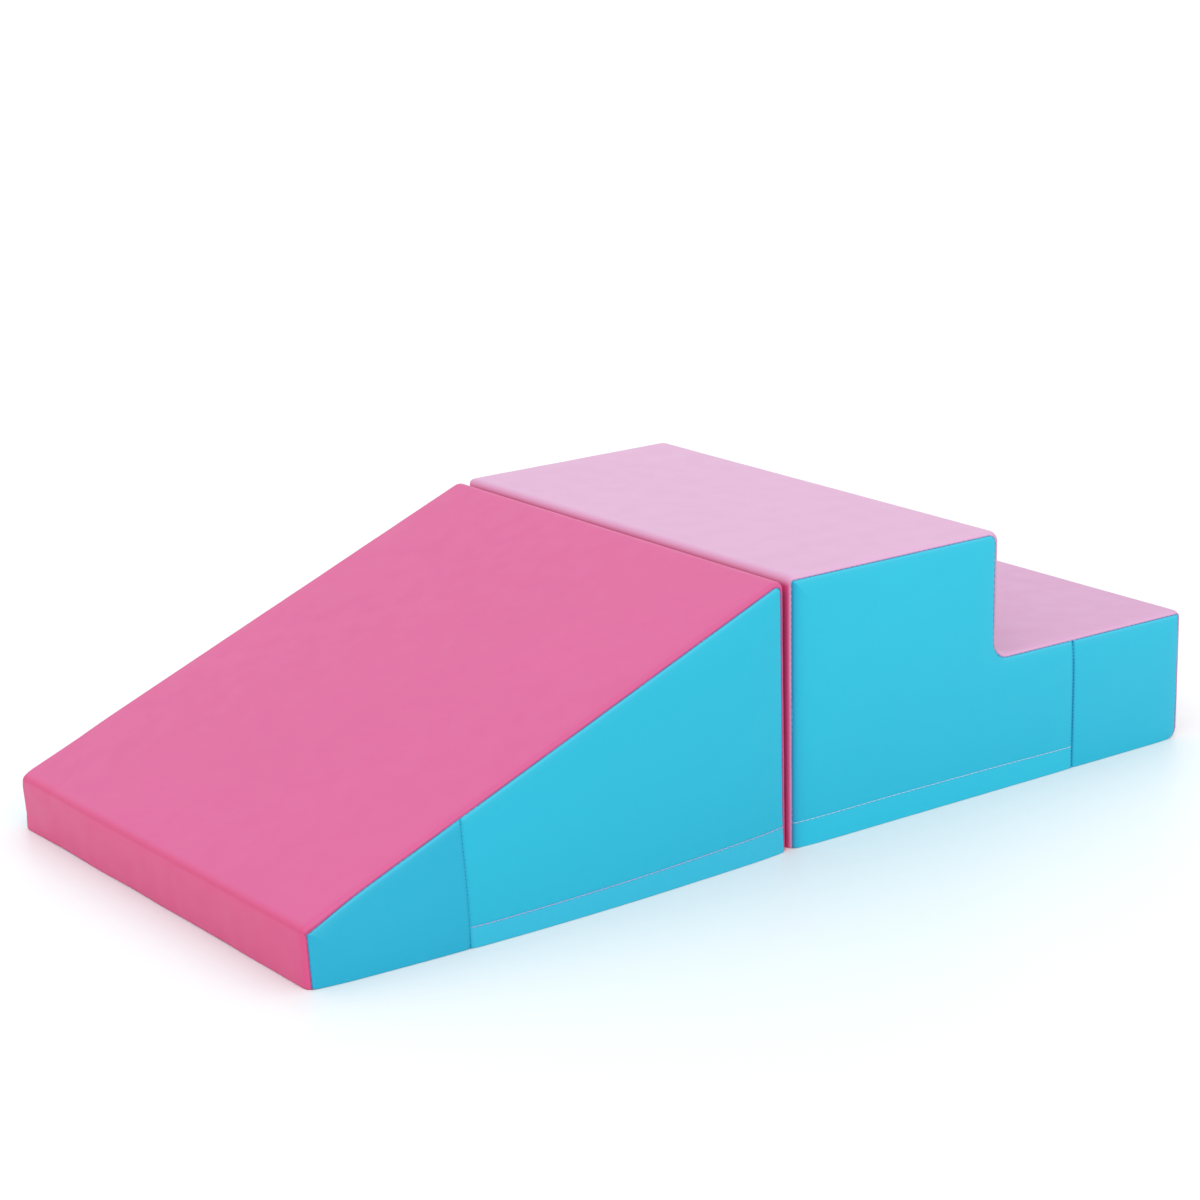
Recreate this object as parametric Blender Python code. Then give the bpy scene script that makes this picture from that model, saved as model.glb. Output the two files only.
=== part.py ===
"""Soft play foam climber: a slide ramp and a two-level step block, standing back to back.

Each block is a laminated foam core in a zipped vinyl cover, and hook and loop strips hold the two
together. X runs from the slide's toe to the foot of the steps, Y across with the left side at -Y,
and Z up from the floor. The origin is on the floor, under the middle. Lengths are in metres.

Each block is worked out in its own section plane: u runs from its joint face, which looks at the
other block, to its outer end, and z runs up. A depth or an inset is measured inwards from the
outside of the cover.
"""

import math
from dataclasses import dataclass

import bmesh
import bpy
from mathutils import Vector
from mathutils.geometry import delaunay_2d_cdt

# Both blocks, measured over their covers
BLOCK_WIDTH = 0.503
BLOCK_GAP = 0.010
EDGE_RADIUS = 0.009
SIDE_CROWN = 0.0015
SIDE_CROWN_REACH = 0.045
OUTER_PANEL_LENGTH = 0.150

# Slide ramp
RAMP_LENGTH = 0.503
RAMP_HEIGHT = 0.252
RAMP_TOE_HEIGHT = 0.052
RAMP_TOE_OVERHANG = 0.004
RAMP_APEX_RADIUS = 0.008
RAMP_TOE_TOP_RADIUS = 0.012
RAMP_TOE_BOTTOM_RADIUS = 0.006
RAMP_SLOPE_CROWN = 0.0015
RAMP_TOE_CROWN = 0.001
RAMP_HEM_BULGE = 0.009

# Step block
STEPS_LENGTH = 0.503
STEPS_HEIGHT = 0.252
TREAD_HEIGHT = 0.1285
TOP_STEP_DEPTH = 0.250
STEPS_BACK_TOP_RADIUS = 0.005
TOP_STEP_FRONT_RADIUS = 0.011
RISER_FOOT_RADIUS = 0.019
TREAD_FRONT_RADIUS = 0.008
STEPS_FOOT_RADIUS = 0.015
STEPS_TOP_CROWN = 0.002
RISER_DRAW_IN = 0.002
STEPS_END_CROWN = 0.0015

# Foam planks in each core
LAYER_COUNT = 4

# Covers
COVER_THICKNESS = 0.001
FIT_CLEARANCE = 0.0003
SEAM_GAP = 0.0004
SEAM_ANGLE = math.radians(52)
HEM_LIFT = 0.0012
HEM_FOLD_RADIUS = 0.0015
LEAST_FILLET = 0.0008
STITCH_HEIGHT = 0.024
BASE_THICKNESS = 0.001

# Zip behind the hem
ZIP_TAPE_DEPTH = 0.0070
ZIP_TAPE_THICKNESS = 0.0006
ZIP_TAPE_LAP = 0.003
ZIP_TAPE_STANDOFF = 0.0008
ZIP_HEIGHT = 0.0125
ZIP_COIL_HEIGHT = 0.0055
ZIP_COIL_THICKNESS = 0.0020
ZIP_CORNER_RADIUS = 0.006
ZIP_END_MARGIN = 0.004
SLIDER_LENGTH = 0.012
SLIDER_WALL = 0.001
SLIDER_TONGUE_LENGTH = 0.006
SLIDER_TONGUE_HEIGHT = 0.005
SLIDER_EYE_RADIUS = 0.0012
CORE_RELIEF_DEPTH = 0.010
CORE_RELIEF_HEIGHT = 0.032
CORE_RELIEF_MARGIN = 0.005

# Hook and loop strips on the two joint faces
STRIP_LENGTH = 0.300
STRIP_WIDTH = 0.050
STRIP_THICKNESS = 0.0013
STRIP_HEIGHTS = {"lower": 0.080, "upper": 0.190}

# The joint faces stand out until the strips on them almost touch
JOINT_CROWN = BLOCK_GAP / 2 - STRIP_THICKNESS - 2 * FIT_CLEARANCE

# How far cutters reach past what they cut
CUT_OVERRUN = 0.02

# How flat a crowned face stays across its middle
SWELL_POWER = 4

# The angle from which an edge counts as sharp
SMOOTH_ANGLE = math.radians(40)

# How finely the curves are divided
FILLET_STEPS = 4
EDGE_STEPS = 3
RIM_STEPS = 2
WIDTH_STEPS = 6
PANEL_STEP = 0.05
PANEL_INNER_RING = 0.018
STRIP_STEPS = 6
ROUTE_SIDE_STEPS = 8
ROUTE_BACK_STEPS = 6
ROUTE_TURN_STEPS = 4
EYE_SIDES = 12

# Base colour, roughness and metallic value of each material
FINISHES = {
    "dark_pink_vinyl": ((0.75, 0.19, 0.39, 1), 0.45, 0),
    "light_pink_vinyl": ((0.78, 0.47, 0.68, 1), 0.45, 0),
    "cyan_vinyl": ((0.04, 0.51, 0.71, 1), 0.45, 0),
    "grip_fabric": ((0.10, 0.10, 0.11, 1), 0.85, 0),
    "foam": ((0.86, 0.86, 0.84, 1), 0.90, 0),
    "zip_tape": ((0.05, 0.38, 0.55, 1), 0.80, 0),
    "zip_coil": ((0.06, 0.42, 0.60, 1), 0.40, 0),
    "slider_metal": ((0.55, 0.56, 0.58, 1), 0.35, 1),
    "hook_tape": ((0.50, 0.12, 0.27, 1), 0.75, 0),
    "loop_tape": ((0.62, 0.30, 0.50, 1), 0.95, 0),
}


@dataclass(frozen=True)
class Corner:
    """A corner of a block's section, and the radius that its cover turns it with."""

    u: float
    z: float
    radius: float


@dataclass(frozen=True)
class Face:
    """The cover between one corner and the next: how far its middle stands out or is drawn in."""

    steps: int
    crown: float = 0.0
    draw_in: float = 0.0


@dataclass(frozen=True)
class Block:
    """A block's section, clockwise from the foot of its joint face, and the way it faces along X."""

    name: str
    facing: int
    corners: tuple
    faces: tuple
    layer_heights: tuple
    hem_bulge: float = 0.0

    @property
    def length(self):
        return self.corners[-2].u

    @property
    def seam(self):
        """Where the upright seam crosses the side, from the joint face."""
        return self.length - OUTER_PANEL_LENGTH

    def world(self, u, y, z):
        return Vector((self.facing * (BLOCK_GAP / 2 + u), y, z))


def ramp_block():
    quarter = RAMP_HEIGHT / LAYER_COUNT
    return Block(
        name="ramp",
        facing=-1,
        corners=(
            Corner(0, 0, HEM_FOLD_RADIUS),
            Corner(0, RAMP_HEIGHT, RAMP_APEX_RADIUS),
            Corner(RAMP_LENGTH, RAMP_TOE_HEIGHT, RAMP_TOE_TOP_RADIUS),
            Corner(RAMP_LENGTH - RAMP_TOE_OVERHANG, 0, RAMP_TOE_BOTTOM_RADIUS),
        ),
        faces=(
            Face(5, crown=JOINT_CROWN),
            Face(8, crown=RAMP_SLOPE_CROWN),
            Face(2, crown=RAMP_TOE_CROWN),
        ),
        layer_heights=tuple(quarter * number for number in range(LAYER_COUNT + 1)),
        hem_bulge=RAMP_HEM_BULGE,
    )


def steps_block():
    tread = TREAD_HEIGHT - COVER_THICKNESS - FIT_CLEARANCE
    return Block(
        name="steps",
        facing=1,
        corners=(
            Corner(0, 0, HEM_FOLD_RADIUS),
            Corner(0, STEPS_HEIGHT, STEPS_BACK_TOP_RADIUS),
            Corner(TOP_STEP_DEPTH, STEPS_HEIGHT, TOP_STEP_FRONT_RADIUS),
            Corner(TOP_STEP_DEPTH, TREAD_HEIGHT, RISER_FOOT_RADIUS),
            Corner(STEPS_LENGTH, TREAD_HEIGHT, TREAD_FRONT_RADIUS),
            Corner(STEPS_LENGTH, 0, STEPS_FOOT_RADIUS),
        ),
        faces=(
            Face(5, crown=JOINT_CROWN),
            Face(4, crown=STEPS_TOP_CROWN),
            Face(4, draw_in=RISER_DRAW_IN),
            Face(4, crown=STEPS_TOP_CROWN),
            Face(3, crown=STEPS_END_CROWN),
        ),
        layer_heights=(0, tread / 2, tread, (tread + STEPS_HEIGHT) / 2, STEPS_HEIGHT),
    )


def swell(share):
    """0 at both ends of a span and 1 in its middle, flat for most of the way."""
    return 1 - abs(2 * share - 1) ** SWELL_POWER


def width_swell(y):
    return swell(0.5 + y / BLOCK_WIDTH)


def fillet(before, after, radius, inset):
    """The arc that rounds the corner between two lines, each a point, its direction and its normal."""
    corner_start, along, outward = before
    next_start, next_along, next_outward = after
    turn = along.cross(next_along)
    reach = (next_start - corner_start).cross(next_along) / turn
    corner = corner_start + along * reach
    hollow = turn > 0
    arc_radius = radius + inset if hollow else max(radius - inset, LEAST_FILLET)
    side = -1 if hollow else 1
    angle = along.angle(next_along)
    centre = corner - along * (arc_radius * math.tan(angle / 2)) - outward * (side * arc_radius)
    points = []
    for step in range(FILLET_STEPS + 1):
        turned = angle * step / FILLET_STEPS
        normal = outward * math.sin(angle - turned) + next_outward * math.sin(turned)
        points.append(centre + normal * (side * arc_radius / math.sin(angle)))
    return points


def section(block, insets, crowning=0.0, draw=1.0):
    """The block's section as points, clockwise from the underside at the joint face.

    insets holds how far in each face lies, the underside last. crowning is the share of each
    face's crown that stands out here, and draw is the share of its draw-in.
    """
    lines = []
    for corner, following, inset in zip(block.corners, block.corners[1:] + block.corners[:1], insets):
        start = Vector((corner.u, corner.z))
        along = (Vector((following.u, following.z)) - start).normalized()
        outward = Vector((-along.y, along.x))
        lines.append((start - outward * inset, along, outward))
    arcs = []
    for number, corner in enumerate(block.corners):
        on_floor = number in (0, len(block.corners) - 1)
        inset = 0 if on_floor else max(insets[number - 1], insets[number])
        arcs.append(fillet(lines[number - 1], lines[number], corner.radius, inset))
    points = []
    for number, face in enumerate(block.faces):
        points += arcs[number]
        start, end = arcs[number][-1], arcs[number + 1][0]
        outward = lines[number][2]
        for step in range(1, face.steps):
            share = step / face.steps
            stands_out = face.crown * crowning - face.draw_in * draw
            points.append(start.lerp(end, share) + outward * (stands_out * swell(share)))
    return points + arcs[-1]


def edge_row(block, angle, depth, underside):
    """The section at an angle round the edge between the strip and a side, and its distance across."""
    radius = EDGE_RADIUS - depth
    inset = depth + radius * (1 - math.cos(angle))
    across = BLOCK_WIDTH / 2 - EDGE_RADIUS + radius * math.sin(angle)
    points = section(block, [inset] * len(block.faces) + [underside])
    return points, across


def distance_to_seam(block, point):
    """How far a point of the side lies from the nearest edge where the side meets the strip."""
    distances = []
    for corner, following in zip(block.corners, block.corners[1:]):
        start = Vector((corner.u, corner.z))
        run = Vector((following.u, following.z)) - start
        share = min(max((point - start).dot(run) / run.length_squared, 0), 1)
        distances.append((point - start - run * share).length)
    return max(min(distances) - EDGE_RADIUS, 0)


def side_swell(block, point):
    """How far the side stands out at a point: its crown, and the slack of its hem low down."""
    near = min(distance_to_seam(block, point) / SIDE_CROWN_REACH, 1)
    along = min(max(point.x / block.length, 0), 1)
    top = block.corners[1].z + (block.corners[-2].z - block.corners[1].z) * along
    low = (1 - min(point.y / top, 1) ** 2) ** 2
    slack = block.hem_bulge * math.sin(math.pi * along) * low
    return (SIDE_CROWN + slack) * (1 - (1 - near) ** 3)


def grid_faces(rows, columns):
    faces = []
    for row in range(rows - 1):
        for column in range(columns - 1):
            first = row * columns + column
            faces.append((first, first + 1, first + columns + 1, first + columns))
    return faces


def make_material(name):
    colour, roughness, metallic = FINISHES[name]
    material = bpy.data.materials.new(name)
    material.use_nodes = True
    shader = material.node_tree.nodes["Principled BSDF"]
    shader.inputs["Base Color"].default_value = colour
    shader.inputs["Roughness"].default_value = roughness
    shader.inputs["Metallic"].default_value = metallic
    return material


def add_piece(name, mesh_data, finish, parent, origin=None):
    """Turns a bmesh in world space into an object whose own origin is where it is said to be."""
    origin = parent.location.copy() if origin is None else origin
    bmesh.ops.recalc_face_normals(mesh_data, faces=mesh_data.faces)
    bmesh.ops.translate(mesh_data, verts=mesh_data.verts, vec=-origin)
    mesh = bpy.data.meshes.new(name)
    mesh_data.to_mesh(mesh)
    mesh_data.free()
    mesh.shade_smooth()
    mesh.set_sharp_from_angle(angle=SMOOTH_ANGLE)
    mesh.materials.append(bpy.data.materials.get(finish) or make_material(finish))
    piece = bpy.data.objects.new(name, mesh)
    bpy.context.collection.objects.link(piece)
    piece.parent = parent
    piece.location = origin - parent.location
    return piece


def add_empty(name, location):
    empty = bpy.data.objects.new(name, None)
    bpy.context.collection.objects.link(empty)
    empty.location = location
    return empty


def solid_from(points, faces):
    mesh_data = bmesh.new()
    verts = [mesh_data.verts.new(point) for point in points]
    for face in faces:
        mesh_data.faces.new([verts[index] for index in face])
    return mesh_data


def sheet_from(outer, inner, faces):
    """A closed sheet between two surfaces that share their faces, with walls along their borders."""
    mesh_data = solid_from(outer, faces)
    borders = [edge.verts[:] for edge in mesh_data.edges if edge.is_boundary]
    mesh_data.verts.index_update()
    pairs = [(first.index, second.index) for first, second in borders]
    mesh_data.free()
    count = len(outer)
    walls = [(a, b, b + count, a + count) for a, b in pairs]
    backs = [tuple(index + count for index in face) for face in faces]
    return solid_from(list(outer) + list(inner), list(faces) + backs + walls)


def prism_from(outline, low, high):
    """A solid with this plan outline of world points between two heights."""
    count = len(outline)
    points = [Vector((x, y, low)) for x, y in outline] + [Vector((x, y, high)) for x, y in outline]
    walls = [(n, (n + 1) % count, (n + 1) % count + count, n + count) for n in range(count)]
    ends = [tuple(range(count)), tuple(range(count, 2 * count))]
    return solid_from(points, walls + ends)


def block_box(block, low, high):
    """A box between two corners given as u, y and z."""
    first, second = block.world(*low), block.world(*high)
    outline = [
        (first.x, first.y),
        (second.x, first.y),
        (second.x, second.y),
        (first.x, second.y),
    ]
    return prism_from(outline, first.z, second.z)


def cut(piece, name, cutter_data, operation):
    """Applies a closed cutter to a piece by a Boolean that stays on it."""
    bmesh.ops.recalc_face_normals(cutter_data, faces=cutter_data.faces)
    mesh = bpy.data.meshes.new(name)
    cutter_data.to_mesh(mesh)
    cutter_data.free()
    cutter = bpy.data.objects.new(name, mesh)
    bpy.context.collection.objects.link(cutter)
    cutter.hide_render = True
    cutter.display_type = "WIRE"
    modifier = piece.modifiers.new(name, "BOOLEAN")
    modifier.operation = operation
    modifier.solver = "EXACT"
    modifier.object = cutter


def core_solid(block):
    """The whole foam core, flat on every face and rounded like its cover at the edges."""
    depth = COVER_THICKNESS + FIT_CLEARANCE
    radius = EDGE_RADIUS - depth
    angles = [math.pi / 2 * step / EDGE_STEPS for step in range(EDGE_STEPS + 1)]
    rows = []
    for side, ordered in ((-1, angles[::-1]), (1, angles)):
        for angle in ordered:
            rounding = radius * (1 - math.cos(angle))
            insets = [depth + face.draw_in + rounding for face in block.faces]
            insets.append(BASE_THICKNESS + FIT_CLEARANCE)
            across = BLOCK_WIDTH / 2 - EDGE_RADIUS + radius * math.sin(angle)
            points = section(block, insets, draw=0)
            rows.append([block.world(point.x, side * across, point.y) for point in points])
    count = len(rows[0])
    faces = []
    for row in range(len(rows) - 1):
        for column in range(count):
            after = (column + 1) % count
            low, high = row * count, (row + 1) * count
            faces.append((low + column, low + after, high + after, high + column))
    faces.append(tuple(range(count)))
    faces.append(tuple(range((len(rows) - 1) * count, len(rows) * count)))
    return solid_from([point for row in rows for point in row], faces)


def add_core(block, parent):
    """The laminated planks of foam, the lowest one cut back where the zip runs round it."""
    half_gap = FIT_CLEARANCE / 2
    for number in range(LAYER_COUNT):
        name = f"{block.name}_core_layer_{number + 1}"
        layer = add_piece(name, core_solid(block), "foam", parent)
        low = -CUT_OVERRUN if number == 0 else block.layer_heights[number] + half_gap
        last = number == LAYER_COUNT - 1
        high = block.layer_heights[number + 1] + (CUT_OVERRUN if last else -half_gap)
        reach = BLOCK_WIDTH / 2 + CUT_OVERRUN
        slab = block_box(block, (-CUT_OVERRUN, -reach, low), (block.length + CUT_OVERRUN, reach, high))
        cut(layer, f"{name}_slab", slab, "INTERSECT")
        if number == 0:
            cut_zip_relief(block, layer)


def cut_zip_relief(block, layer):
    end = block.seam + CORE_RELIEF_MARGIN
    outside = BLOCK_WIDTH / 2 + CUT_OVERRUN
    inside = BLOCK_WIDTH / 2 - CORE_RELIEF_DEPTH
    for side, name in ((-1, "left"), (1, "right")):
        near, far = sorted((side * inside, side * outside))
        box = block_box(block, (-CUT_OVERRUN, near, -CUT_OVERRUN), (end, far, CORE_RELIEF_HEIGHT))
        cut(layer, f"{layer.name}_relief_{name}", box, "DIFFERENCE")
    box = block_box(
        block,
        (-CUT_OVERRUN, -outside, -CUT_OVERRUN),
        (CORE_RELIEF_DEPTH, outside, CORE_RELIEF_HEIGHT),
    )
    cut(layer, f"{layer.name}_relief_joint", box, "DIFFERENCE")


def strip_surface(block, depth):
    """The points of the strip that wraps the block from underside to underside, row by row."""
    seam_angle = SEAM_ANGLE - SEAM_GAP / 2 / EDGE_RADIUS
    angles = [seam_angle * (1 - step / EDGE_STEPS) for step in range(EDGE_STEPS)]
    rows = []
    for angle in angles:
        points, across = edge_row(block, angle, depth, depth)
        rows.append((points, -across))
    flat_half = BLOCK_WIDTH / 2 - EDGE_RADIUS
    for step in range(WIDTH_STEPS + 1):
        y = flat_half * (2 * step / WIDTH_STEPS - 1)
        insets = [depth] * len(block.corners)
        rows.append((section(block, insets, crowning=swell(step / WIDTH_STEPS)), y))
    for angle in angles[::-1]:
        points, across = edge_row(block, angle, depth, depth)
        rows.append((points, across))
    return [[block.world(point.x, y, point.y) for point in points] for points, y in rows]


def add_strip(block, name, finish, parent):
    outer = strip_surface(block, 0)
    inner = strip_surface(block, COVER_THICKNESS)
    faces = grid_faces(len(outer), len(outer[0]))
    flat_outer = [point for row in outer for point in row]
    flat_inner = [point for row in inner for point in row]
    add_piece(name, sheet_from(flat_outer, flat_inner, faces), finish, parent)


def side_layout(block):
    """Rings round the side from its seam to its flat, then the flat, as (u, z, angle) and faces."""
    seam_angle = SEAM_ANGLE + SEAM_GAP / 2 / EDGE_RADIUS
    angles = [
        seam_angle + (math.pi / 2 - seam_angle) * step / RIM_STEPS for step in range(RIM_STEPS + 1)
    ]
    ring = section(block, [EDGE_RADIUS] * len(block.faces) + [HEM_LIFT])
    count = len(ring)
    faces = grid_faces(len(angles), count)
    start = (len(angles) - 1) * count
    low, high = ring[0], ring[-1]
    bottom_steps = math.ceil((high - low).length / PANEL_STEP)
    bottom = [high.lerp(low, step / bottom_steps) for step in range(1, bottom_steps)]
    inset = EDGE_RADIUS + PANEL_INNER_RING
    inside = section(block, [inset] * len(block.faces) + [PANEL_INNER_RING])
    inside += [point for point in panel_grid(block) if distance_to_seam(block, point) > PANEL_STEP / 2]
    outline = ring + bottom
    loop = list(range(len(outline)))[::-1]
    merge_distance = LEAST_FILLET / FILLET_STEPS
    spots, _, triangles, sources, _, owners = delaunay_2d_cdt(
        outline + inside, [], [loop], 1, merge_distance, True
    )
    triangles = [triangle for triangle, owner in zip(triangles, owners) if owner]
    numbers = {}
    extra = []
    for index, source in enumerate(sources):
        on_ring = [number for number in source if number < count]
        if on_ring:
            numbers[index] = start + on_ring[0]
        else:
            numbers[index] = len(angles) * count + len(extra)
            extra.append(spots[index])
    faces += [tuple(numbers[index] for index in triangle) for triangle in triangles]
    return angles, extra, faces


def panel_grid(block):
    """Points spread over the flat of a side, inside the section."""
    points = []
    across = math.ceil(block.length / PANEL_STEP)
    up = math.ceil(block.corners[1].z / PANEL_STEP)
    outline = section(block, [EDGE_RADIUS + PANEL_STEP / 2] * len(block.faces) + [PANEL_STEP / 2])
    for column in range(1, across):
        for row in range(1, up):
            point = Vector((block.length * column / across, block.corners[1].z * row / up))
            if inside_outline(point, outline):
                points.append(point)
    return points


def inside_outline(point, outline):
    crossings = 0
    for first, second in zip(outline, outline[1:] + outline[:1]):
        if (first.y > point.y) != (second.y > point.y):
            share = (point.y - first.y) / (second.y - first.y)
            crossings += point.x < first.x + (second.x - first.x) * share
    return crossings % 2 == 1


def side_surface(block, layout, depth, side):
    angles, extra, _ = layout
    points = []
    for angle in angles:
        ring, across = edge_row(block, angle, depth, HEM_LIFT)
        points += [block.world(point.x, side * across, point.y) for point in ring]
    for point in extra:
        across = BLOCK_WIDTH / 2 - depth + side_swell(block, point)
        points.append(block.world(point.x, side * across, point.y))
    return points


def hinge_reach(block):
    """How far out the side's stitched line stands, where the hem flap turns."""
    samples = [
        side_swell(block, Vector((block.seam * step / ROUTE_SIDE_STEPS, STITCH_HEIGHT)))
        for step in range(ROUTE_SIDE_STEPS + 1)
    ]
    return BLOCK_WIDTH / 2 + max(samples)


def add_sides(block, outer_name, parent):
    """The two sides, each cut into its main panel, its outer panel and its hem flap."""
    layout = side_layout(block)
    reach = BLOCK_WIDTH / 2 + block.hem_bulge + SIDE_CROWN + CUT_OVERRUN
    half_gap = SEAM_GAP / 2
    inner_run = (-CUT_OVERRUN, block.seam - half_gap)
    outer_run = (block.seam + half_gap, block.length + CUT_OVERRUN)
    below = -CUT_OVERRUN
    above = block.corners[1].z + CUT_OVERRUN
    for side, word in ((-1, "left"), (1, "right")):
        outer = side_surface(block, layout, 0, side)
        inner = side_surface(block, layout, COVER_THICKNESS, side)
        near, far = sorted((side * BLOCK_WIDTH / 4, side * reach))
        hinge = block.world(block.seam / 2, side * hinge_reach(block), STITCH_HEIGHT)
        pieces = (
            ("side_panel", inner_run, (STITCH_HEIGHT + half_gap, above), None),
            (f"{outer_name}_panel", outer_run, (below, above), None),
            ("hem_flap", inner_run, (below, STITCH_HEIGHT - half_gap), hinge),
        )
        for kind, run, rise, origin in pieces:
            name = f"{block.name}_{kind}_{word}"
            sheet = sheet_from(outer, inner, layout[2])
            piece = add_piece(name, sheet, "cyan_vinyl", parent, origin)
            box = block_box(block, (run[0], near, rise[0]), (run[1], far, rise[1]))
            cut(piece, f"{name}_bounds", box, "INTERSECT")


def add_base(block, parent):
    """The grip sheet underneath, stepped in where the zip's lower tape stands on its edge."""
    narrow = ZIP_TAPE_DEPTH - ZIP_TAPE_THICKNESS / 2 - FIT_CLEARANCE
    half_narrow = BLOCK_WIDTH / 2 - narrow
    half_wide = BLOCK_WIDTH / 2 - COVER_THICKNESS - FIT_CLEARANCE
    half = [(narrow, half_narrow), (block.seam, half_narrow), (block.seam, half_wide)]
    for step in range(EDGE_STEPS, -1, -1):
        angle = SEAM_ANGLE * step / EDGE_STEPS
        points, across = edge_row(block, angle, COVER_THICKNESS, COVER_THICKNESS)
        end = points[-1].x - FIT_CLEARANCE
        if step == EDGE_STEPS:
            half.append((end, half_wide))
        half.append((end, across))
    plan = half + [(u, -y) for u, y in reversed(half)]
    outline = [block.world(u, y, 0).xy for u, y in plan]
    add_piece(f"{block.name}_base_panel", prism_from(outline, 0, BASE_THICKNESS), "grip_fabric", parent)


def hem_route(block, corner_inset, radius, side_out, joint_out):
    """Plan points (u, y) from the left upright seam round the joint face to the right one.

    corner_inset is how far in from both faces the turns' centres lie. side_out(u) and joint_out(y)
    give how far the straight runs stand out past the turns.
    """
    start = block.seam - ZIP_END_MARGIN
    half = BLOCK_WIDTH / 2 - corner_inset
    left = []
    for step in range(ROUTE_SIDE_STEPS):
        u = start + (corner_inset - start) * step / ROUTE_SIDE_STEPS
        left.append((u, -half - radius - side_out(u)))
    for step in range(ROUTE_TURN_STEPS + 1):
        angle = math.pi / 2 * step / ROUTE_TURN_STEPS
        left.append((corner_inset - radius * math.sin(angle), -half - radius * math.cos(angle)))
    middle = []
    for step in range(1, ROUTE_BACK_STEPS):
        y = half * (2 * step / ROUTE_BACK_STEPS - 1)
        middle.append((corner_inset - radius - joint_out(y), y))
    right = [(u, -y) for u, y in reversed(left)]
    return left + middle + right


def zip_line(block, depth, height):
    """The zip's own line: straight along the sides and across the joint face."""
    inset = ZIP_TAPE_DEPTH + ZIP_CORNER_RADIUS
    plan = hem_route(block, inset, inset - depth, lambda u: 0, lambda y: 0)
    return [block.world(u, y, height) for u, y in plan]


def cover_line(block, depth, height):
    """The line behind the cover's stitching, which follows the slack of the sides."""
    crown = JOINT_CROWN * swell(height / block.corners[1].z)
    plan = hem_route(
        block,
        EDGE_RADIUS,
        EDGE_RADIUS - depth,
        lambda u: side_swell(block, Vector((u, height))),
        lambda y: crown * width_swell(y),
    )
    return [block.world(u, y, height) for u, y in plan]


def add_band(name, outer_lines, inner_lines, finish, parent):
    """A closed band between two pairs of lines, each the lower and the upper edge of a face."""
    count = len(outer_lines[0])
    outer = outer_lines[0] + outer_lines[1]
    inner = inner_lines[0] + inner_lines[1]
    add_piece(name, sheet_from(outer, inner, grid_faces(2, count)), finish, parent)


def add_zip(block, parent):
    """Both tapes, the closed coil between them and the slider on its left run."""
    half = ZIP_TAPE_THICKNESS / 2
    front, back = ZIP_TAPE_DEPTH - half, ZIP_TAPE_DEPTH + half
    low = BASE_THICKNESS + FIT_CLEARANCE
    meeting = FIT_CLEARANCE / 2
    top = STITCH_HEIGHT + ZIP_TAPE_LAP
    behind_cover = COVER_THICKNESS + ZIP_TAPE_STANDOFF
    add_band(
        f"{block.name}_zip_lower_tape",
        (zip_line(block, front, low), zip_line(block, front, ZIP_HEIGHT - meeting)),
        (zip_line(block, back, low), zip_line(block, back, ZIP_HEIGHT - meeting)),
        "zip_tape",
        parent,
    )
    shoulder = ZIP_HEIGHT + ZIP_COIL_HEIGHT
    upper_outer = (
        zip_line(block, front, ZIP_HEIGHT + meeting),
        zip_line(block, front, shoulder),
        cover_line(block, behind_cover, top),
    )
    upper_inner = (
        zip_line(block, back, ZIP_HEIGHT + meeting),
        zip_line(block, back, shoulder),
        cover_line(block, behind_cover + ZIP_TAPE_THICKNESS, top),
    )
    count = len(upper_outer[0])
    faces = grid_faces(len(upper_outer), count)
    sheet = sheet_from(sum(upper_outer, []), sum(upper_inner, []), faces)
    add_piece(f"{block.name}_zip_upper_tape", sheet, "zip_tape", parent)
    coil_back = front - FIT_CLEARANCE
    coil_front = coil_back - ZIP_COIL_THICKNESS
    coil_low, coil_high = ZIP_HEIGHT - ZIP_COIL_HEIGHT / 2, ZIP_HEIGHT + ZIP_COIL_HEIGHT / 2
    add_band(
        f"{block.name}_zip_coil",
        (zip_line(block, coil_front, coil_low), zip_line(block, coil_front, coil_high)),
        (zip_line(block, coil_back, coil_low), zip_line(block, coil_back, coil_high)),
        "zip_coil",
        parent,
    )
    add_slider(block, coil_front, parent)


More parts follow.
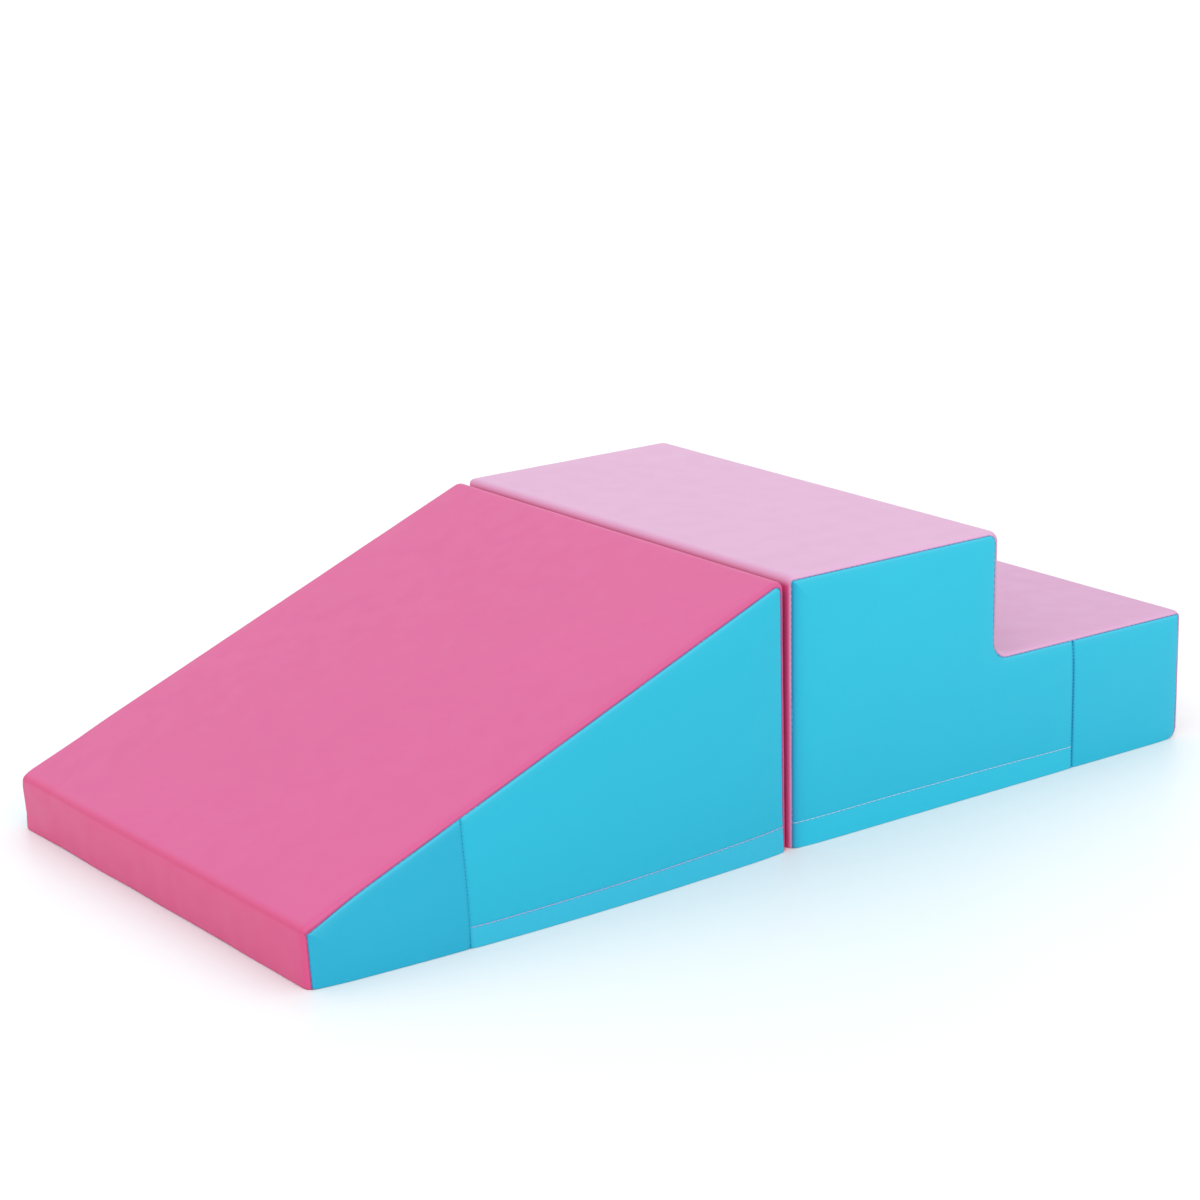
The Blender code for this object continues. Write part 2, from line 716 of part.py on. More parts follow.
def add_slider(block, coil_front, parent):
    """A channel that straddles the coil, with an eyed tongue in place of a pull tab."""
    plate_back = coil_front - FIT_CLEARANCE
    plate_front = plate_back - SLIDER_WALL
    flange_end = coil_front + ZIP_COIL_THICKNESS
    inner = ZIP_COIL_HEIGHT / 2 + FIT_CLEARANCE
    outer = inner + SLIDER_WALL
    channel = [
        (plate_front, -outer),
        (flange_end, -outer),
        (flange_end, -inner),
        (plate_back, -inner),
        (plate_back, inner),
        (flange_end, inner),
        (flange_end, outer),
        (plate_front, outer),
    ]
    start = block.seam - ZIP_END_MARGIN - SLIDER_LENGTH
    points = []
    for u in (start, start + SLIDER_LENGTH):
        for depth, rise in channel:
            points.append(block.world(u, depth - BLOCK_WIDTH / 2, ZIP_HEIGHT + rise))
    count = len(channel)
    walls = [(n, (n + 1) % count, (n + 1) % count + count, n + count) for n in range(count)]
    ends = [tuple(range(count)), tuple(range(count, 2 * count))]
    name = f"{block.name}_zip_slider"
    origin = block.world(start + SLIDER_LENGTH / 2, ZIP_TAPE_DEPTH - BLOCK_WIDTH / 2, ZIP_HEIGHT)
    slider = add_piece(name, solid_from(points, walls + ends), "slider_metal", parent, origin)
    tongue_end = start - SLIDER_TONGUE_LENGTH
    half = SLIDER_TONGUE_HEIGHT / 2
    tongue = block_box(
        block,
        (tongue_end, plate_front - BLOCK_WIDTH / 2, ZIP_HEIGHT - half),
        (start + SLIDER_WALL, plate_back - BLOCK_WIDTH / 2, ZIP_HEIGHT + half),
    )
    cut(slider, f"{name}_tongue", tongue, "UNION")
    eye = eye_cutter(block, (start + tongue_end) / 2, plate_front, plate_back)
    cut(slider, f"{name}_eye", eye, "DIFFERENCE")


def eye_cutter(block, u, front, back):
    points = []
    for depth in (front - SLIDER_WALL, back + SLIDER_WALL):
        for number in range(EYE_SIDES):
            angle = 2 * math.pi * number / EYE_SIDES
            along = u + SLIDER_EYE_RADIUS * math.cos(angle)
            height = ZIP_HEIGHT + SLIDER_EYE_RADIUS * math.sin(angle)
            points.append(block.world(along, depth - BLOCK_WIDTH / 2, height))
    walls = [
        (n, (n + 1) % EYE_SIDES, (n + 1) % EYE_SIDES + EYE_SIDES, n + EYE_SIDES)
        for n in range(EYE_SIDES)
    ]
    ends = [tuple(range(EYE_SIDES)), tuple(range(EYE_SIDES, 2 * EYE_SIDES))]
    return solid_from(points, walls + ends)


def add_fastening_strips(block, kind, parent):
    """The upper and lower strip on the joint face, bent to its crown."""
    rise_span = block.corners[1].z
    for word, height in STRIP_HEIGHTS.items():
        surfaces = []
        for proud in (FIT_CLEARANCE + STRIP_THICKNESS, FIT_CLEARANCE):
            points = []
            for row in (-1, 0, 1):
                z = height + row * STRIP_WIDTH / 2
                for step in range(STRIP_STEPS + 1):
                    y = STRIP_LENGTH * (step / STRIP_STEPS - 1 / 2)
                    crown = JOINT_CROWN * swell(z / rise_span) * width_swell(y)
                    points.append(block.world(-crown - proud, y, z))
            surfaces.append(points)
        sheet = sheet_from(surfaces[0], surfaces[1], grid_faces(3, STRIP_STEPS + 1))
        add_piece(f"{block.name}_{kind}_strip_{word}", sheet, f"{kind}_tape", parent)


def add_block(block, strip_name, strip_finish, outer_name, fastening):
    parent = add_empty(f"{block.name}_block", block.world(0, 0, 0))
    add_core(block, parent)
    add_base(block, parent)
    add_strip(block, f"{block.name}_{strip_name}", strip_finish, parent)
    add_sides(block, outer_name, parent)
    add_zip(block, parent)
    add_fastening_strips(block, fastening, parent)


def main():
    for old in list(bpy.data.objects):
        bpy.data.objects.remove(old, do_unlink=True)
    add_block(ramp_block(), "slide_cover", "dark_pink_vinyl", "toe", "hook")
    add_block(steps_block(), "tread_cover", "light_pink_vinyl", "end", "loop")


main()
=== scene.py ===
"""Looks of the soft play foam climber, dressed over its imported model.

Lengths are in metres, in the model's own frame: X from the slide's toe to the foot of the steps, Y
across with the left side at -Y, Z up from the floor. Each block is worked out in its section plane,
where u runs from its joint face to its outer end and z runs up.
"""

import math
from bisect import bisect_left
from collections import Counter
from dataclasses import dataclass, replace
from itertools import accumulate

import bmesh
import bpy
from mathutils import Matrix, Vector, noise
from mathutils.geometry import delaunay_2d_cdt


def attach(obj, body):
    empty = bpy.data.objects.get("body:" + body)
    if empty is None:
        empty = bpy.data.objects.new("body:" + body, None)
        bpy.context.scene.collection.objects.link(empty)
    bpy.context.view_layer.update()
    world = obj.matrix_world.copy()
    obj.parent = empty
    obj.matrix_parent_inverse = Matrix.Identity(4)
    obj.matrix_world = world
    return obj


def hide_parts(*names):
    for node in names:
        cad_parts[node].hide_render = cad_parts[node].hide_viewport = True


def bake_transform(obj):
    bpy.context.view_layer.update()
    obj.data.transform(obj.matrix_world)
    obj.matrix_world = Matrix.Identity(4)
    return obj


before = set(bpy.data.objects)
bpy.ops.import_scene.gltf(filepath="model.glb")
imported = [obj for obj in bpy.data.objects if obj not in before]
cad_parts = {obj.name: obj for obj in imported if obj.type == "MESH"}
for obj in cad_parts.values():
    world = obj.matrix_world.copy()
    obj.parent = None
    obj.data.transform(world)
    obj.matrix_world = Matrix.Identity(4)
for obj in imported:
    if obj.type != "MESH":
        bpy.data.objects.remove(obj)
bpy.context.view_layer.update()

# The blocks, over their covers
BLOCK_WIDTH = 0.503
BLOCK_GAP = 0.010
EDGE_RADIUS = 0.008
SIDE_CROWN = 0.0015
SIDE_CROWN_REACH = 0.045
SWELL_POWER = 4
TOP_SEAM_ANGLE = math.radians(52)
TOE_SEAM_ANGLE = math.radians(58)
END_SEAM_ANGLE = math.radians(72)
RISER_SEAM_ANGLE = math.radians(80)
RAMP_JOINT_SEAM_ANGLE = math.radians(72)
STEPS_JOINT_SEAM_ANGLE = math.radians(48)

# The covers and their hem
COVER_THICKNESS = 0.001
FIT_CLEARANCE = 0.0003
FLOOR_CLEARANCE = 0.0003
SEAM_GAP = 0.0003
STITCH_HEIGHT = 0.024
HEM_FLARE = 0.0012
LEAST_FILLET = 0.0008
SHARPENING_START = 0.45
RIGHT_SHARPENING_START = -0.3

# How far the sewing draws the covers in
SEAM_DEPTH = 0.0007
SEAM_REACH = 0.0016
SEAM_PINCH = 0.0003
SEAM_PINCH_REACH = 0.0045
UPRIGHT_PINCH = 0.0007
UPRIGHT_PINCH_REACH = 0.009
PUCKER = 0.00014
PUCKER_REACH = 0.0035
CORNER_PULL = 2.2
CORNER_PULL_REACH = 0.016
WANDER = 0.0005
WANDER_REACH = 0.010
WANDER_LENGTH = 0.035
STITCH_DENT = 0.0004
STITCH_DENT_REACH = 0.0012
STITCH_DENT_WAVE = 0.3
DEEPEST_DRAW = 0.0016
# Painted shade in and beside the seams, painted light beside them, and the joint face's pale rim
SHADE_REACH = 0.0012
CORNER_SHADE = 1.8
UPRIGHT_SHADE_REACH = 0.0028
CORNER_SHADE_REACH = 0.003
SHADOW_REACH = 0.0048
RIM_LIGHTING_REACH = 0.0030
JOINT_RIM = 0.0005
JOINT_RIM_FADE = 0.0030
# How far the seams' dip at the toe's corner reaches
SEAM_DIP_REACH = 0.035

# The covers' soft unevenness over the foam
COVER_SLACK = 0.0002
COVER_SLACK_LENGTH = 0.120
COVER_SLACK_REACH = 0.012
TOE_SLACK = 0.0010
TOE_SLACK_LENGTH = 0.070
TOE_SLACK_REACH = 0.030
SUNK_CORNER_DEPTHS = (0.0038, 0.0026)
SUNK_CORNER_REACHES = (0.055, 0.013)
SUNK_FOOT = 0.030

# Sewing thread
STITCH_PITCH = 0.0062
STITCH_LENGTH = 0.0055
STITCH_ARCH = 0.0003
UPRIGHT_STITCH_SCALE = 0.55
SEAM_THREAD_RADIUS = 0.00023
TOP_THREAD_RADIUS = 0.0004
THREAD_END_SHARE = 0.55

# Zip behind the hem
ZIP_TAPE_DEPTH = 0.0070
ZIP_TAPE_THICKNESS = 0.0006
ZIP_FRONT = ZIP_TAPE_DEPTH - ZIP_TAPE_THICKNESS / 2
ZIP_TAPE_LAP = 0.003
ZIP_TAPE_STANDOFF = 0.0008
ZIP_HEIGHT = 0.0125
ZIP_COIL_HEIGHT = 0.0055
ZIP_COIL_THICKNESS = 0.0020
ZIP_CORNER_RADIUS = 0.006
ZIP_END_MARGIN = 0.004
COIL_PITCH = 0.0017
COIL_WIRE_RADIUS = 0.00055
COIL_OVERLAP = 0.0007

# Underside, foam and fastening strips
BASE_THICKNESS = 0.001
BASE_INSET = 0.0006
BASE_END_INSET = 0.004
GRIP_DOT_PITCH = 0.012
GRIP_DOT_RADIUS = 0.0017
GRIP_DOT_TIP_SHARE = 0.7
CUT_EDGE_RADIUS = 0.0006
SLIDER_EDGE_RADIUS = 0.0002
FOAM_SINKING = 1.6
STRIP_LENGTH = 0.300
STRIP_WIDTH = 0.050
STRIP_HEIGHTS = {"lower": 0.080, "upper": 0.190}
STRIP_CLEARANCE = 0.0002
STRIP_BACKING = 0.0007
STRIP_EDGE_SHARE = 0.6
STRIP_EDGE_REACH = 0.0008
STRIP_BORDER = 0.004
STRIP_PILE_HEIGHT = 0.0006
STRIP_PILE_PITCH = 0.0028
LOOP_LEVEL = 0.6
LOOP_SPREAD = 0.7
STRIP_STEP = 0.0007
STRIP_STITCH_INSET = 0.0022

# How finely the surfaces are divided
COLUMN_STEP = 0.00155
FILLET_STEPS = 8
EDGE_STEPS = 7
RIM_STEPS = 5
FLAT_ROWS = 24
FLAT_ROW_POWER = 1.6
RING_INSETS = (0.0015, 0.0035, 0.0065, 0.0105)
PANEL_STEP = 0.009
PANEL_CLEARANCE = 0.0008
UPRIGHT_COLUMN_STEP = 0.0020
HEM_EDGE_STEP = 0.0031
STITCH_ROW_OFFSETS = (-0.0045, -0.0024, -0.0012, 0, 0.0012, 0.0024, 0.0045)
UPRIGHT_ROW_OFFSETS = (0.0007, 0.0015, 0.0028, 0.0052, 0.0090)
TRIANGULATION_TOLERANCE = 0.000025
THREAD_SIDES = 6
THREAD_RINGS = 5
DOT_SIDES = 10
ROUTE_SIDE_STEPS = 40
ROUTE_BACK_STEPS = 30
ROUTE_TURN_STEPS = 8
SMOOTH_ANGLE = math.radians(50)

# The photograph's camera: its place, its turns in radians, and its lens for a 36 mm wide sensor
CAMERA_PLACE = (-1.6674, -2.2247, 0.9649)
CAMERA_YAW = -0.6379
CAMERA_PITCH = 0.2749
CAMERA_ROLL = -0.0205
CAMERA_LENS = 91.574
CAMERA_SENSOR = 36

# The studio
FLOOR_REACH = 40
FLOOR_TONE = (0.735, 0.760, 0.770)
WHITE = (1, 1, 1)
HORIZON_LIGHT = 1.05
ZENITH_LIGHT = 1.30
ZENITH_LIGHT_SPAN = (0.10, 0.80)
KEY_DIRECTION = (-0.90, -1.50, 2.10)
KEY_ANGLE = math.radians(60)
KEY_STRENGTH = 0.9

# The finishes: how finely each pattern repeats, how deep its relief is, and the painted shade and
# roughening that a seam adds
MOTTLE_SCALE = 7.0
SHEEN_PATCH_SCALE = 40.0
PEBBLE_SCALE = 950.0
PEBBLE_DEPTH = 0.00010
CREASE_SCALE = 420.0
CREASE_DEPTH = 0.00008
SEAM_DARKNESS = 0.8
SEAM_ROUGHENING = 0.4
FIBRE_SCALE = 2600.0
FIBRE_DEPTH = 0.0001
RIB_DEPTH = 0.0002
BUBBLE_SCALE = 420.0
BUBBLE_DEPTH = 0.0004
SCUFF_SCALE = 300.0
SCUFF_DEPTH = 0.00005
SCUFF_ROUGHENING = 0.06
PAPER_SCALE = 60.0

# Colours that several finishes share, as linear red, green and blue
# Painted light on the slide's toe face, and a joint face's dark pink that turns to painted shade over
# its edge
DEEP_PINK = (0.585, 0.061, 0.195)
# Painted highlight on cyan rims beside the top seams
CYAN_RIM_HIGHLIGHT = (0.038, 0.420, 0.562)
# Painted shade deep in the seams of the cyan covers
SEAM_SHADE_BLUE = (0.0, 0.13, 0.32)


@dataclass(frozen=True)
class Corner:
    """A corner of a block's section, with its cover's radius in mid-width and at the seams.

    right_radius is the radius at the right seam where that differs from the left one.
    """

    u: float
    z: float
    radius: float
    seam_radius: float
    right_radius: float = 0.0


@dataclass(frozen=True)
class Face:
    """The cover between one corner and the next.

    seam_angle is how far round the edge towards the side its seam lies, and crown how far its
    middle stands out. The rim lighting is painted light on the covers beside the seam: a painted
    highlight, but painted shade on the slide's pink strip. The shadow is painted shadow on the side
    beside the seam. dip is how much further round the edge the seam lies at the toe's corner.
    """

    seam_angle: float
    crown: float = 0.0
    dip: float = 0.0
    rim_lighting: float = 0.0
    shadow: float = 0.0


@dataclass(frozen=True)
class Block:
    """A block's section, clockwise from the foot of its joint face, and the way it faces along X.

    hem_heights shape the hem's stitched line from the joint face to the upright seam.
    """

    name: str
    facing: int
    corners: tuple
    faces: tuple
    seam_face: int
    outer_panel: float
    hem_heights: tuple
    upright_shade: float
    upright_thread: float
    hem_bulge: float
    hem_flare: float
    toe_slack: float
    seed: float

    @property
    def joint(self):
        return self.corners[0].u

    @property
    def length(self):
        return self.corners[-2].u

    @property
    def height(self):
        return self.corners[1].z

    @property
    def seam(self):
        return self.length - self.outer_panel

    def at_side(self, side):
        """The block with the corners' radii that its seams have on one side."""
        if side < 0:
            return self
        radii = [corner.right_radius or corner.seam_radius for corner in self.corners]
        corners = [replace(corner, seam_radius=radius) for corner, radius in zip(self.corners, radii)]
        return replace(self, corners=tuple(corners))

    def world(self, u, y, z):
        return Vector((self.facing * (BLOCK_GAP / 2 + u), y, z))


RAMP = Block(
    name="ramp",
    facing=-1,
    corners=(
        Corner(-0.0055, 0, 0.0008, 0.0008),
        Corner(-0.0036, 0.2550, 0.008, 0.0105),
        Corner(0.503, 0.0530, 0.008, 0.004, right_radius=0.028),
        Corner(0.499, 0, 0.0010, 0.0012, right_radius=0.003),
    ),
    faces=(
        Face(RAMP_JOINT_SEAM_ANGLE, crown=-0.0016),
        Face(TOP_SEAM_ANGLE, crown=0.0015, dip=math.radians(23), rim_lighting=1),
        Face(TOE_SEAM_ANGLE, crown=0.001, dip=math.radians(7)),
    ),
    seam_face=1,
    outer_panel=0.1565,
    hem_heights=(0.0240, 0.0190, 0.0185),
    upright_shade=0.34,
    upright_thread=0.00035,
    hem_bulge=0.009,
    hem_flare=HEM_FLARE,
    toe_slack=TOE_SLACK,
    seed=3.1,
)

STEPS = Block(
    name="steps",
    facing=1,
    corners=(
        Corner(-0.0012, 0, 0.0008, 0.0008),
        Corner(-0.0012, 0.2535, 0.009, 0.0055),
        Corner(0.2540, 0.2535, 0.011, 0.014),
        Corner(0.2530, 0.1318, 0.014, 0.014),
        Corner(0.503, 0.1300, 0.008, 0.006),
        Corner(0.503, 0, 0.013, 0.009),
    ),
    faces=(
        # Painted shadow on the cyan beside the joint, where it turns towards the gap
        Face(STEPS_JOINT_SEAM_ANGLE, crown=0.0019, shadow=0.9),
        Face(TOP_SEAM_ANGLE, crown=0.0015, rim_lighting=1),
        Face(RISER_SEAM_ANGLE),
        Face(TOP_SEAM_ANGLE, crown=0.0015, rim_lighting=1),
        Face(END_SEAM_ANGLE, crown=0.0015),
    ),
    seam_face=3,
    outer_panel=0.1510,
    hem_heights=(0.0245, 0.0255, 0.0218),
    upright_shade=1,
    upright_thread=0.0005,
    hem_bulge=0,
    hem_flare=HEM_FLARE / 3,
    toe_slack=0,
    seed=8.7,
)

# Each side's way across, and its word in names
SIDES = {-1: "left", 1: "right"}


def clamped(value):
    return min(max(value, 0), 1)


def swell(share):
    """0 at both ends of a span and 1 in its middle, flat for most of the way."""
    return 1 - abs(2 * share - 1) ** SWELL_POWER


def ease(share):
    """A smooth rise from 0 to 1."""
    share = clamped(share)
    return share * share * (3 - 2 * share)


def fade(distance, reach):
    """1 at a place and 0 beyond its reach."""
    return max(1 - distance / reach, 0) ** 2


def dying(distance, reach):
    """1 at a place, falling off sharply there and ever more slowly."""
    return math.exp(-distance / reach)


def bell(distance, reach):
    """1 at a place, falling off smoothly on every side."""
    return math.exp(-((distance / reach) ** 2))


def at_turn(values, turn):
    """The value of each face where a point lies on one, and one in between on a corner."""
    turn = min(max(turn, 0), len(values) - 1)
    low = min(int(turn), len(values) - 2)
    return values[low] + (values[low + 1] - values[low]) * (turn - low)


def span(start, end, step):
    """Evenly spread values between two ends, both left out."""
    count = max(math.ceil(abs(end - start) / step), 1)
    return [start + (end - start) * number / count for number in range(1, count)]


def fillet(before, after, radius, inset):
    """The arc that rounds the corner between two lines, each a point, its direction and its normal."""
    corner_start, along, outward = before
    next_start, next_along, next_outward = after
    turn = along.cross(next_along)
    corner = corner_start + along * ((next_start - corner_start).cross(next_along) / turn)
    hollow = turn > 0
    arc_radius = radius + inset if hollow else max(radius - inset, LEAST_FILLET)
    side = -1 if hollow else 1
    angle = along.angle(next_along)
    centre = corner - along * (arc_radius * math.tan(angle / 2)) - outward * (side * arc_radius)
    points = []
    for step in range(FILLET_STEPS + 1):
        turned = angle * step / FILLET_STEPS
        normal = outward * math.sin(angle - turned) + next_outward * math.sin(turned)
        points.append(centre + normal * (side * arc_radius / math.sin(angle)))
    return points


def corner_arcs(block, lines, insets, sharpness):
    arcs = []
    last = len(block.corners) - 1
    for number, corner in enumerate(block.corners):
        radius = corner.radius + (corner.seam_radius - corner.radius) * sharpness
        depth = 0 if number in (0, last) else max(insets[number - 1], insets[number])
        arcs.append(fillet(lines[number - 1], lines[number], radius, depth))
    return arcs


def section(block, insets, underside, crowning=0.0, sharpness=1.0, seam_shift=0.0):
    """Points round the block's section, their turns, and the number of the one on the upright seam.

    Each face is drawn in by its own inset. A point's turn is the number of its face, with a
    fraction on the corner between two. crowning is the share of each crown that stands out here,
    and sharpness says how near the corners' radii are to those at the seams.
    """
    lines = []
    followers = block.corners[1:] + block.corners[:1]
    for corner, following, depth in zip(block.corners, followers, [*insets, underside]):
        start = Vector((corner.u, corner.z))
        along = (Vector((following.u, following.z)) - start).normalized()
        outward = Vector((-along.y, along.x))
        lines.append((start - outward * depth, along, outward))
    arcs = corner_arcs(block, lines, insets, sharpness)
    points, turns = [], []
    seam_column = 0
    for number, face in enumerate(block.faces):
        points += arcs[number]
        turns += [number - 1 + step / FILLET_STEPS for step in range(FILLET_STEPS + 1)]
        start, end = arcs[number][-1], arcs[number + 1][0]
        first, last = block.corners[number], block.corners[number + 1]
        steps = math.ceil(math.hypot(last.u - first.u, last.z - first.z) / COLUMN_STEP)
        shares = [step / steps for step in range(1, steps)]
        if number == block.seam_face:
            crossing = (block.seam + seam_shift - start.x) / (end.x - start.x)
            before = round(steps * (block.seam - first.u) / (last.u - first.u))
            after = steps - before
            shares = [crossing * step / before for step in range(1, before + 1)]
            shares += [crossing + (1 - crossing) * step / after for step in range(1, after)]
            seam_column = len(points) + before - 1
        for share in shares:
            stands_out = face.crown * crowning * swell(share)
            points.append(start.lerp(end, share) + lines[number][2] * stands_out)
        turns += [number] * len(shares)
    points += arcs[-1]
    turns += [len(block.faces) - 1] * len(arcs[-1])
    return points, turns, seam_column


def edge_insets(angles):
    return [EDGE_RADIUS * (1 - math.cos(angle)) for angle in angles]


def edge_line(block, angles, underside, sharpness=1.0, seam_shift=0.0, nearness=0.0):
    """A line round the block's edge, turned towards the side by an angle at each face.

    Gives its section points, how far across each lies, its angle and its turn, and the number of
    the point on the upright seam. nearness is how near the line is to the seams, from 0 to 1, as
    their dip at the toe's corner takes it along.
    """
    form = (underside, 0.0, sharpness, seam_shift)
    points, turns, column = section(block, edge_insets(angles), *form)
    round_angles = [at_turn(angles, turn) for turn in turns]
    if any(face.dip for face in block.faces):
        dips = [face.dip * nearness for face in block.faces]
        lower = [min(angle + dip, math.pi / 2) for angle, dip in zip(angles, dips)]
        dipped = section(block, edge_insets(lower), *form)[0]
        toe = Vector((block.corners[2].u, block.corners[2].z))
        shares = [bell((point - toe).length, SEAM_DIP_REACH) for point in points]
        points = [point.lerp(low, share) for point, low, share in zip(points, dipped, shares)]
        for number, (turn, share) in enumerate(zip(turns, shares)):
            round_angles[number] += (at_turn(lower, turn) - round_angles[number]) * share
    flat = BLOCK_WIDTH / 2 - EDGE_RADIUS
    across = [flat + EDGE_RADIUS * math.sin(angle) for angle in round_angles]
    return points, across, round_angles, turns, column


def lengths_along(points):
    steps = [(second - first).length for first, second in zip(points, points[1:])]
    return [0, *accumulate(steps)]


def nearest_edge(block, point):
    """How far a point of the side lies from the nearest rounded edge, and the number of its face."""
    distances = []
    for corner, following in zip(block.corners, block.corners[1:]):
        start = Vector((corner.u, corner.z))
        run = Vector((following.u, following.z)) - start
        share = clamped((point - start).dot(run) / run.length_squared)
        distances.append((point - start - run * share).length)
    nearest = min(distances)
    return max(nearest - EDGE_RADIUS, 0), distances.index(nearest)


def distance_to_seam(block, point):
    """How far a point on the flat of a side lies from the nearest seam."""
    distance, number = nearest_edge(block, point)
    return distance + EDGE_RADIUS * (math.pi / 2 - block.faces[number].seam_angle)


def joint_surface(block, y, z):
    """Where along u the joint face lies, away from its rounded edges."""
    across = swell(clamped(0.5 + y / (BLOCK_WIDTH - 2 * EDGE_RADIUS)))
    up = min(z / block.height, 1)
    plane = block.joint + (block.corners[1].u - block.joint) * up
    return plane - block.faces[0].crown * across * swell(up)


def side_swell(block, point):
    """How far the side stands out at a point: its crown, and the slack of its hem low down."""
    near = min(nearest_edge(block, point)[0] / SIDE_CROWN_REACH, 1)
    along = clamped(point.x / block.length)
    top = block.corners[1].z + (block.corners[-2].z - block.corners[1].z) * along
    low = (1 - min(point.y / top, 1) ** 2) ** 2
    slack = block.hem_bulge * math.sin(math.pi * along) * low
    return (SIDE_CROWN + slack) * (1 - (1 - near) ** 3)


def cover_slack(block, point, size, length):
    return size * noise.noise(point / length + Vector((block.seed, 0, block.seed)))


def corner_distance(block, u, z):
    return min(math.hypot(u - corner.u, z - corner.z) for corner in block.corners[1:-1])


def corner_pull(block, u, z):
    """How much more the seams draw in near a corner, where several layers are sewn together."""
    return 1 + CORNER_PULL * dying(corner_distance(block, u, z), CORNER_PULL_REACH)


def seam_shade(block, u, z, distance):
    """How deep in a seam's painted shade a point lies, from 0 to 1, reaching further near a corner."""
    corner = dying(max(corner_distance(block, u, z) - EDGE_RADIUS / 2, 0), CORNER_SHADE_REACH)
    return fade(distance, SHADE_REACH * (1 + CORNER_SHADE * corner))


def beside_seam(values, turn, distance, reach):
    """A face's value at its seam, dying away from there."""
    return at_turn(values, turn) * dying(distance, reach)


def sunk_corner(block, point):
    """How far the cover has sunk at the ramp's far toe corner."""
    if block.name != RAMP.name:
        return 0
    toe = block.corners[2]
    away = (point - block.world(toe.u, BLOCK_WIDTH / 2, toe.z)).length
    depths = zip(SUNK_CORNER_DEPTHS, SUNK_CORNER_REACHES)
    return sum(depth * bell(away, reach) for depth, reach in depths) * ease(point.z / SUNK_FOOT)


def seam_draw(distance, station, seed, pull):
    """How far a seam draws the cover in, at a distance beside it and a station along it."""
    ripple = 0.5 + 0.5 * math.cos(math.tau * station / STITCH_PITCH)
    draw = SEAM_DEPTH * fade(distance, SEAM_REACH) + SEAM_PINCH * dying(distance, SEAM_PINCH_REACH)
    draw += PUCKER * pull * dying(distance, PUCKER_REACH) * ripple
    wander = noise.noise(Vector((station / WANDER_LENGTH, seed, 0)))
    return draw + WANDER * wander * fade(distance, WANDER_REACH)


def strip_height(block, point, distance, station):
    """How far the strip's surface stands out from its plain form."""
    u = block.facing * point.x - BLOCK_GAP / 2
    height = cover_slack(block, point, COVER_SLACK, COVER_SLACK_LENGTH)
    near_toe = 1 - ease((block.length - u - EDGE_RADIUS) / TOE_SLACK_REACH)
    height += near_toe * cover_slack(block, point, block.toe_slack, TOE_SLACK_LENGTH)
    height *= min(distance / COVER_SLACK_REACH, 1)
    seed = math.copysign(block.seed, point.y)
    height -= sunk_corner(block, point)
    return height - seam_draw(distance, station, seed, corner_pull(block, u, point.z))


def hem_line(block, u):
    """The height of the hem's stitching."""
    share = clamped(u / block.seam)
    start, bend, end = block.hem_heights
    return start * (1 - share) ** 2 + 2 * bend * share * (1 - share) + end * share**2


def side_height(block, u, z, side, distance, station):
    """How far a side's surface stands out from its plain form."""
    upright = abs(u - block.seam)
    draw = seam_draw(distance, station, side * block.seed + 1, corner_pull(block, u, z))
    draw += SEAM_DEPTH * fade(upright, SEAM_REACH) + UPRIGHT_PINCH * dying(upright, UPRIGHT_PINCH_REACH)
    draw += PUCKER * dying(upright, PUCKER_REACH) * math.cos(math.pi * z / STITCH_PITCH) ** 2
    height = 0
    if u < block.seam:
        above = z - hem_line(block, u)
        wave = 1 - STITCH_DENT_WAVE * (1 - math.cos(math.tau * u / STITCH_PITCH))
        draw += STITCH_DENT * bell(above, STITCH_DENT_REACH) * wave
        height += block.hem_flare * max(-above / STITCH_HEIGHT, 0)
    slack = cover_slack(block, Vector((u, side, z)), COVER_SLACK, COVER_SLACK_LENGTH)
    height += slack * min(distance / COVER_SLACK_REACH, 1)
    height -= sunk_corner(block, block.world(u, side * BLOCK_WIDTH / 2, z))
    return height - min(draw, DEEPEST_DRAW)


def grid_faces(rows, columns):
    firsts = [row * columns + column for row in range(rows - 1) for column in range(columns - 1)]
    return [(first, first + 1, first + columns + 1, first + columns) for first in firsts]


def linked(name, data):
    """A new object in the scene."""
    made = bpy.data.objects.new(name, data)
    bpy.context.scene.collection.objects.link(made)
    return made


def mesh_piece(name, points, faces, finish):
    mesh = bpy.data.meshes.new(name)
    mesh.from_pydata([tuple(point) for point in points], [], faces)
    mesh.shade_smooth()
    mesh.set_sharp_from_angle(angle=SMOOTH_ANGLE)
    mesh.materials.append(finish)
    return linked(name, mesh)


def sheet_normals(points, faces, outward):
    """Each point's outward normal on an open sheet.

    outward is the way that the whole sheet looks, or None for one that wraps round its middle.
    """
    mesh_data = bmesh.new()
    verts = [mesh_data.verts.new(point) for point in points]
    for face in faces:
        mesh_data.faces.new([verts[index] for index in face])
    bmesh.ops.recalc_face_normals(mesh_data, faces=mesh_data.faces)
    mesh_data.normal_update()
    normals = [vert.normal.copy() for vert in verts]
    mesh_data.free()
    centre = sum(points, Vector()) / len(points)
    lean = sum(normal.dot(outward or point - centre) for point, normal in zip(points, normals))
    return normals if lean >= 0 else [-normal for normal in normals]


def closed_sheet(name, outer, inner, faces, finish):
    """A closed piece between two surfaces of the same faces, with a wall round their border."""
    count = len(outer)
    backs = [tuple(index + count for index in reversed(face)) for face in faces]
    edges = Counter(tuple(sorted(pair)) for face in faces for pair in zip(face, face[1:] + face[:1]))
    border = [edge for edge, uses in edges.items() if uses == 1]
    walls = [(first, second, second + count, first + count) for first, second in border]
    piece = mesh_piece(name, outer + inner, faces + backs + walls, finish)
    mesh_data = bmesh.new()
    mesh_data.from_mesh(piece.data)
    bmesh.ops.recalc_face_normals(mesh_data, faces=mesh_data.faces)
    mesh_data.to_mesh(piece.data)
    mesh_data.free()
    return piece


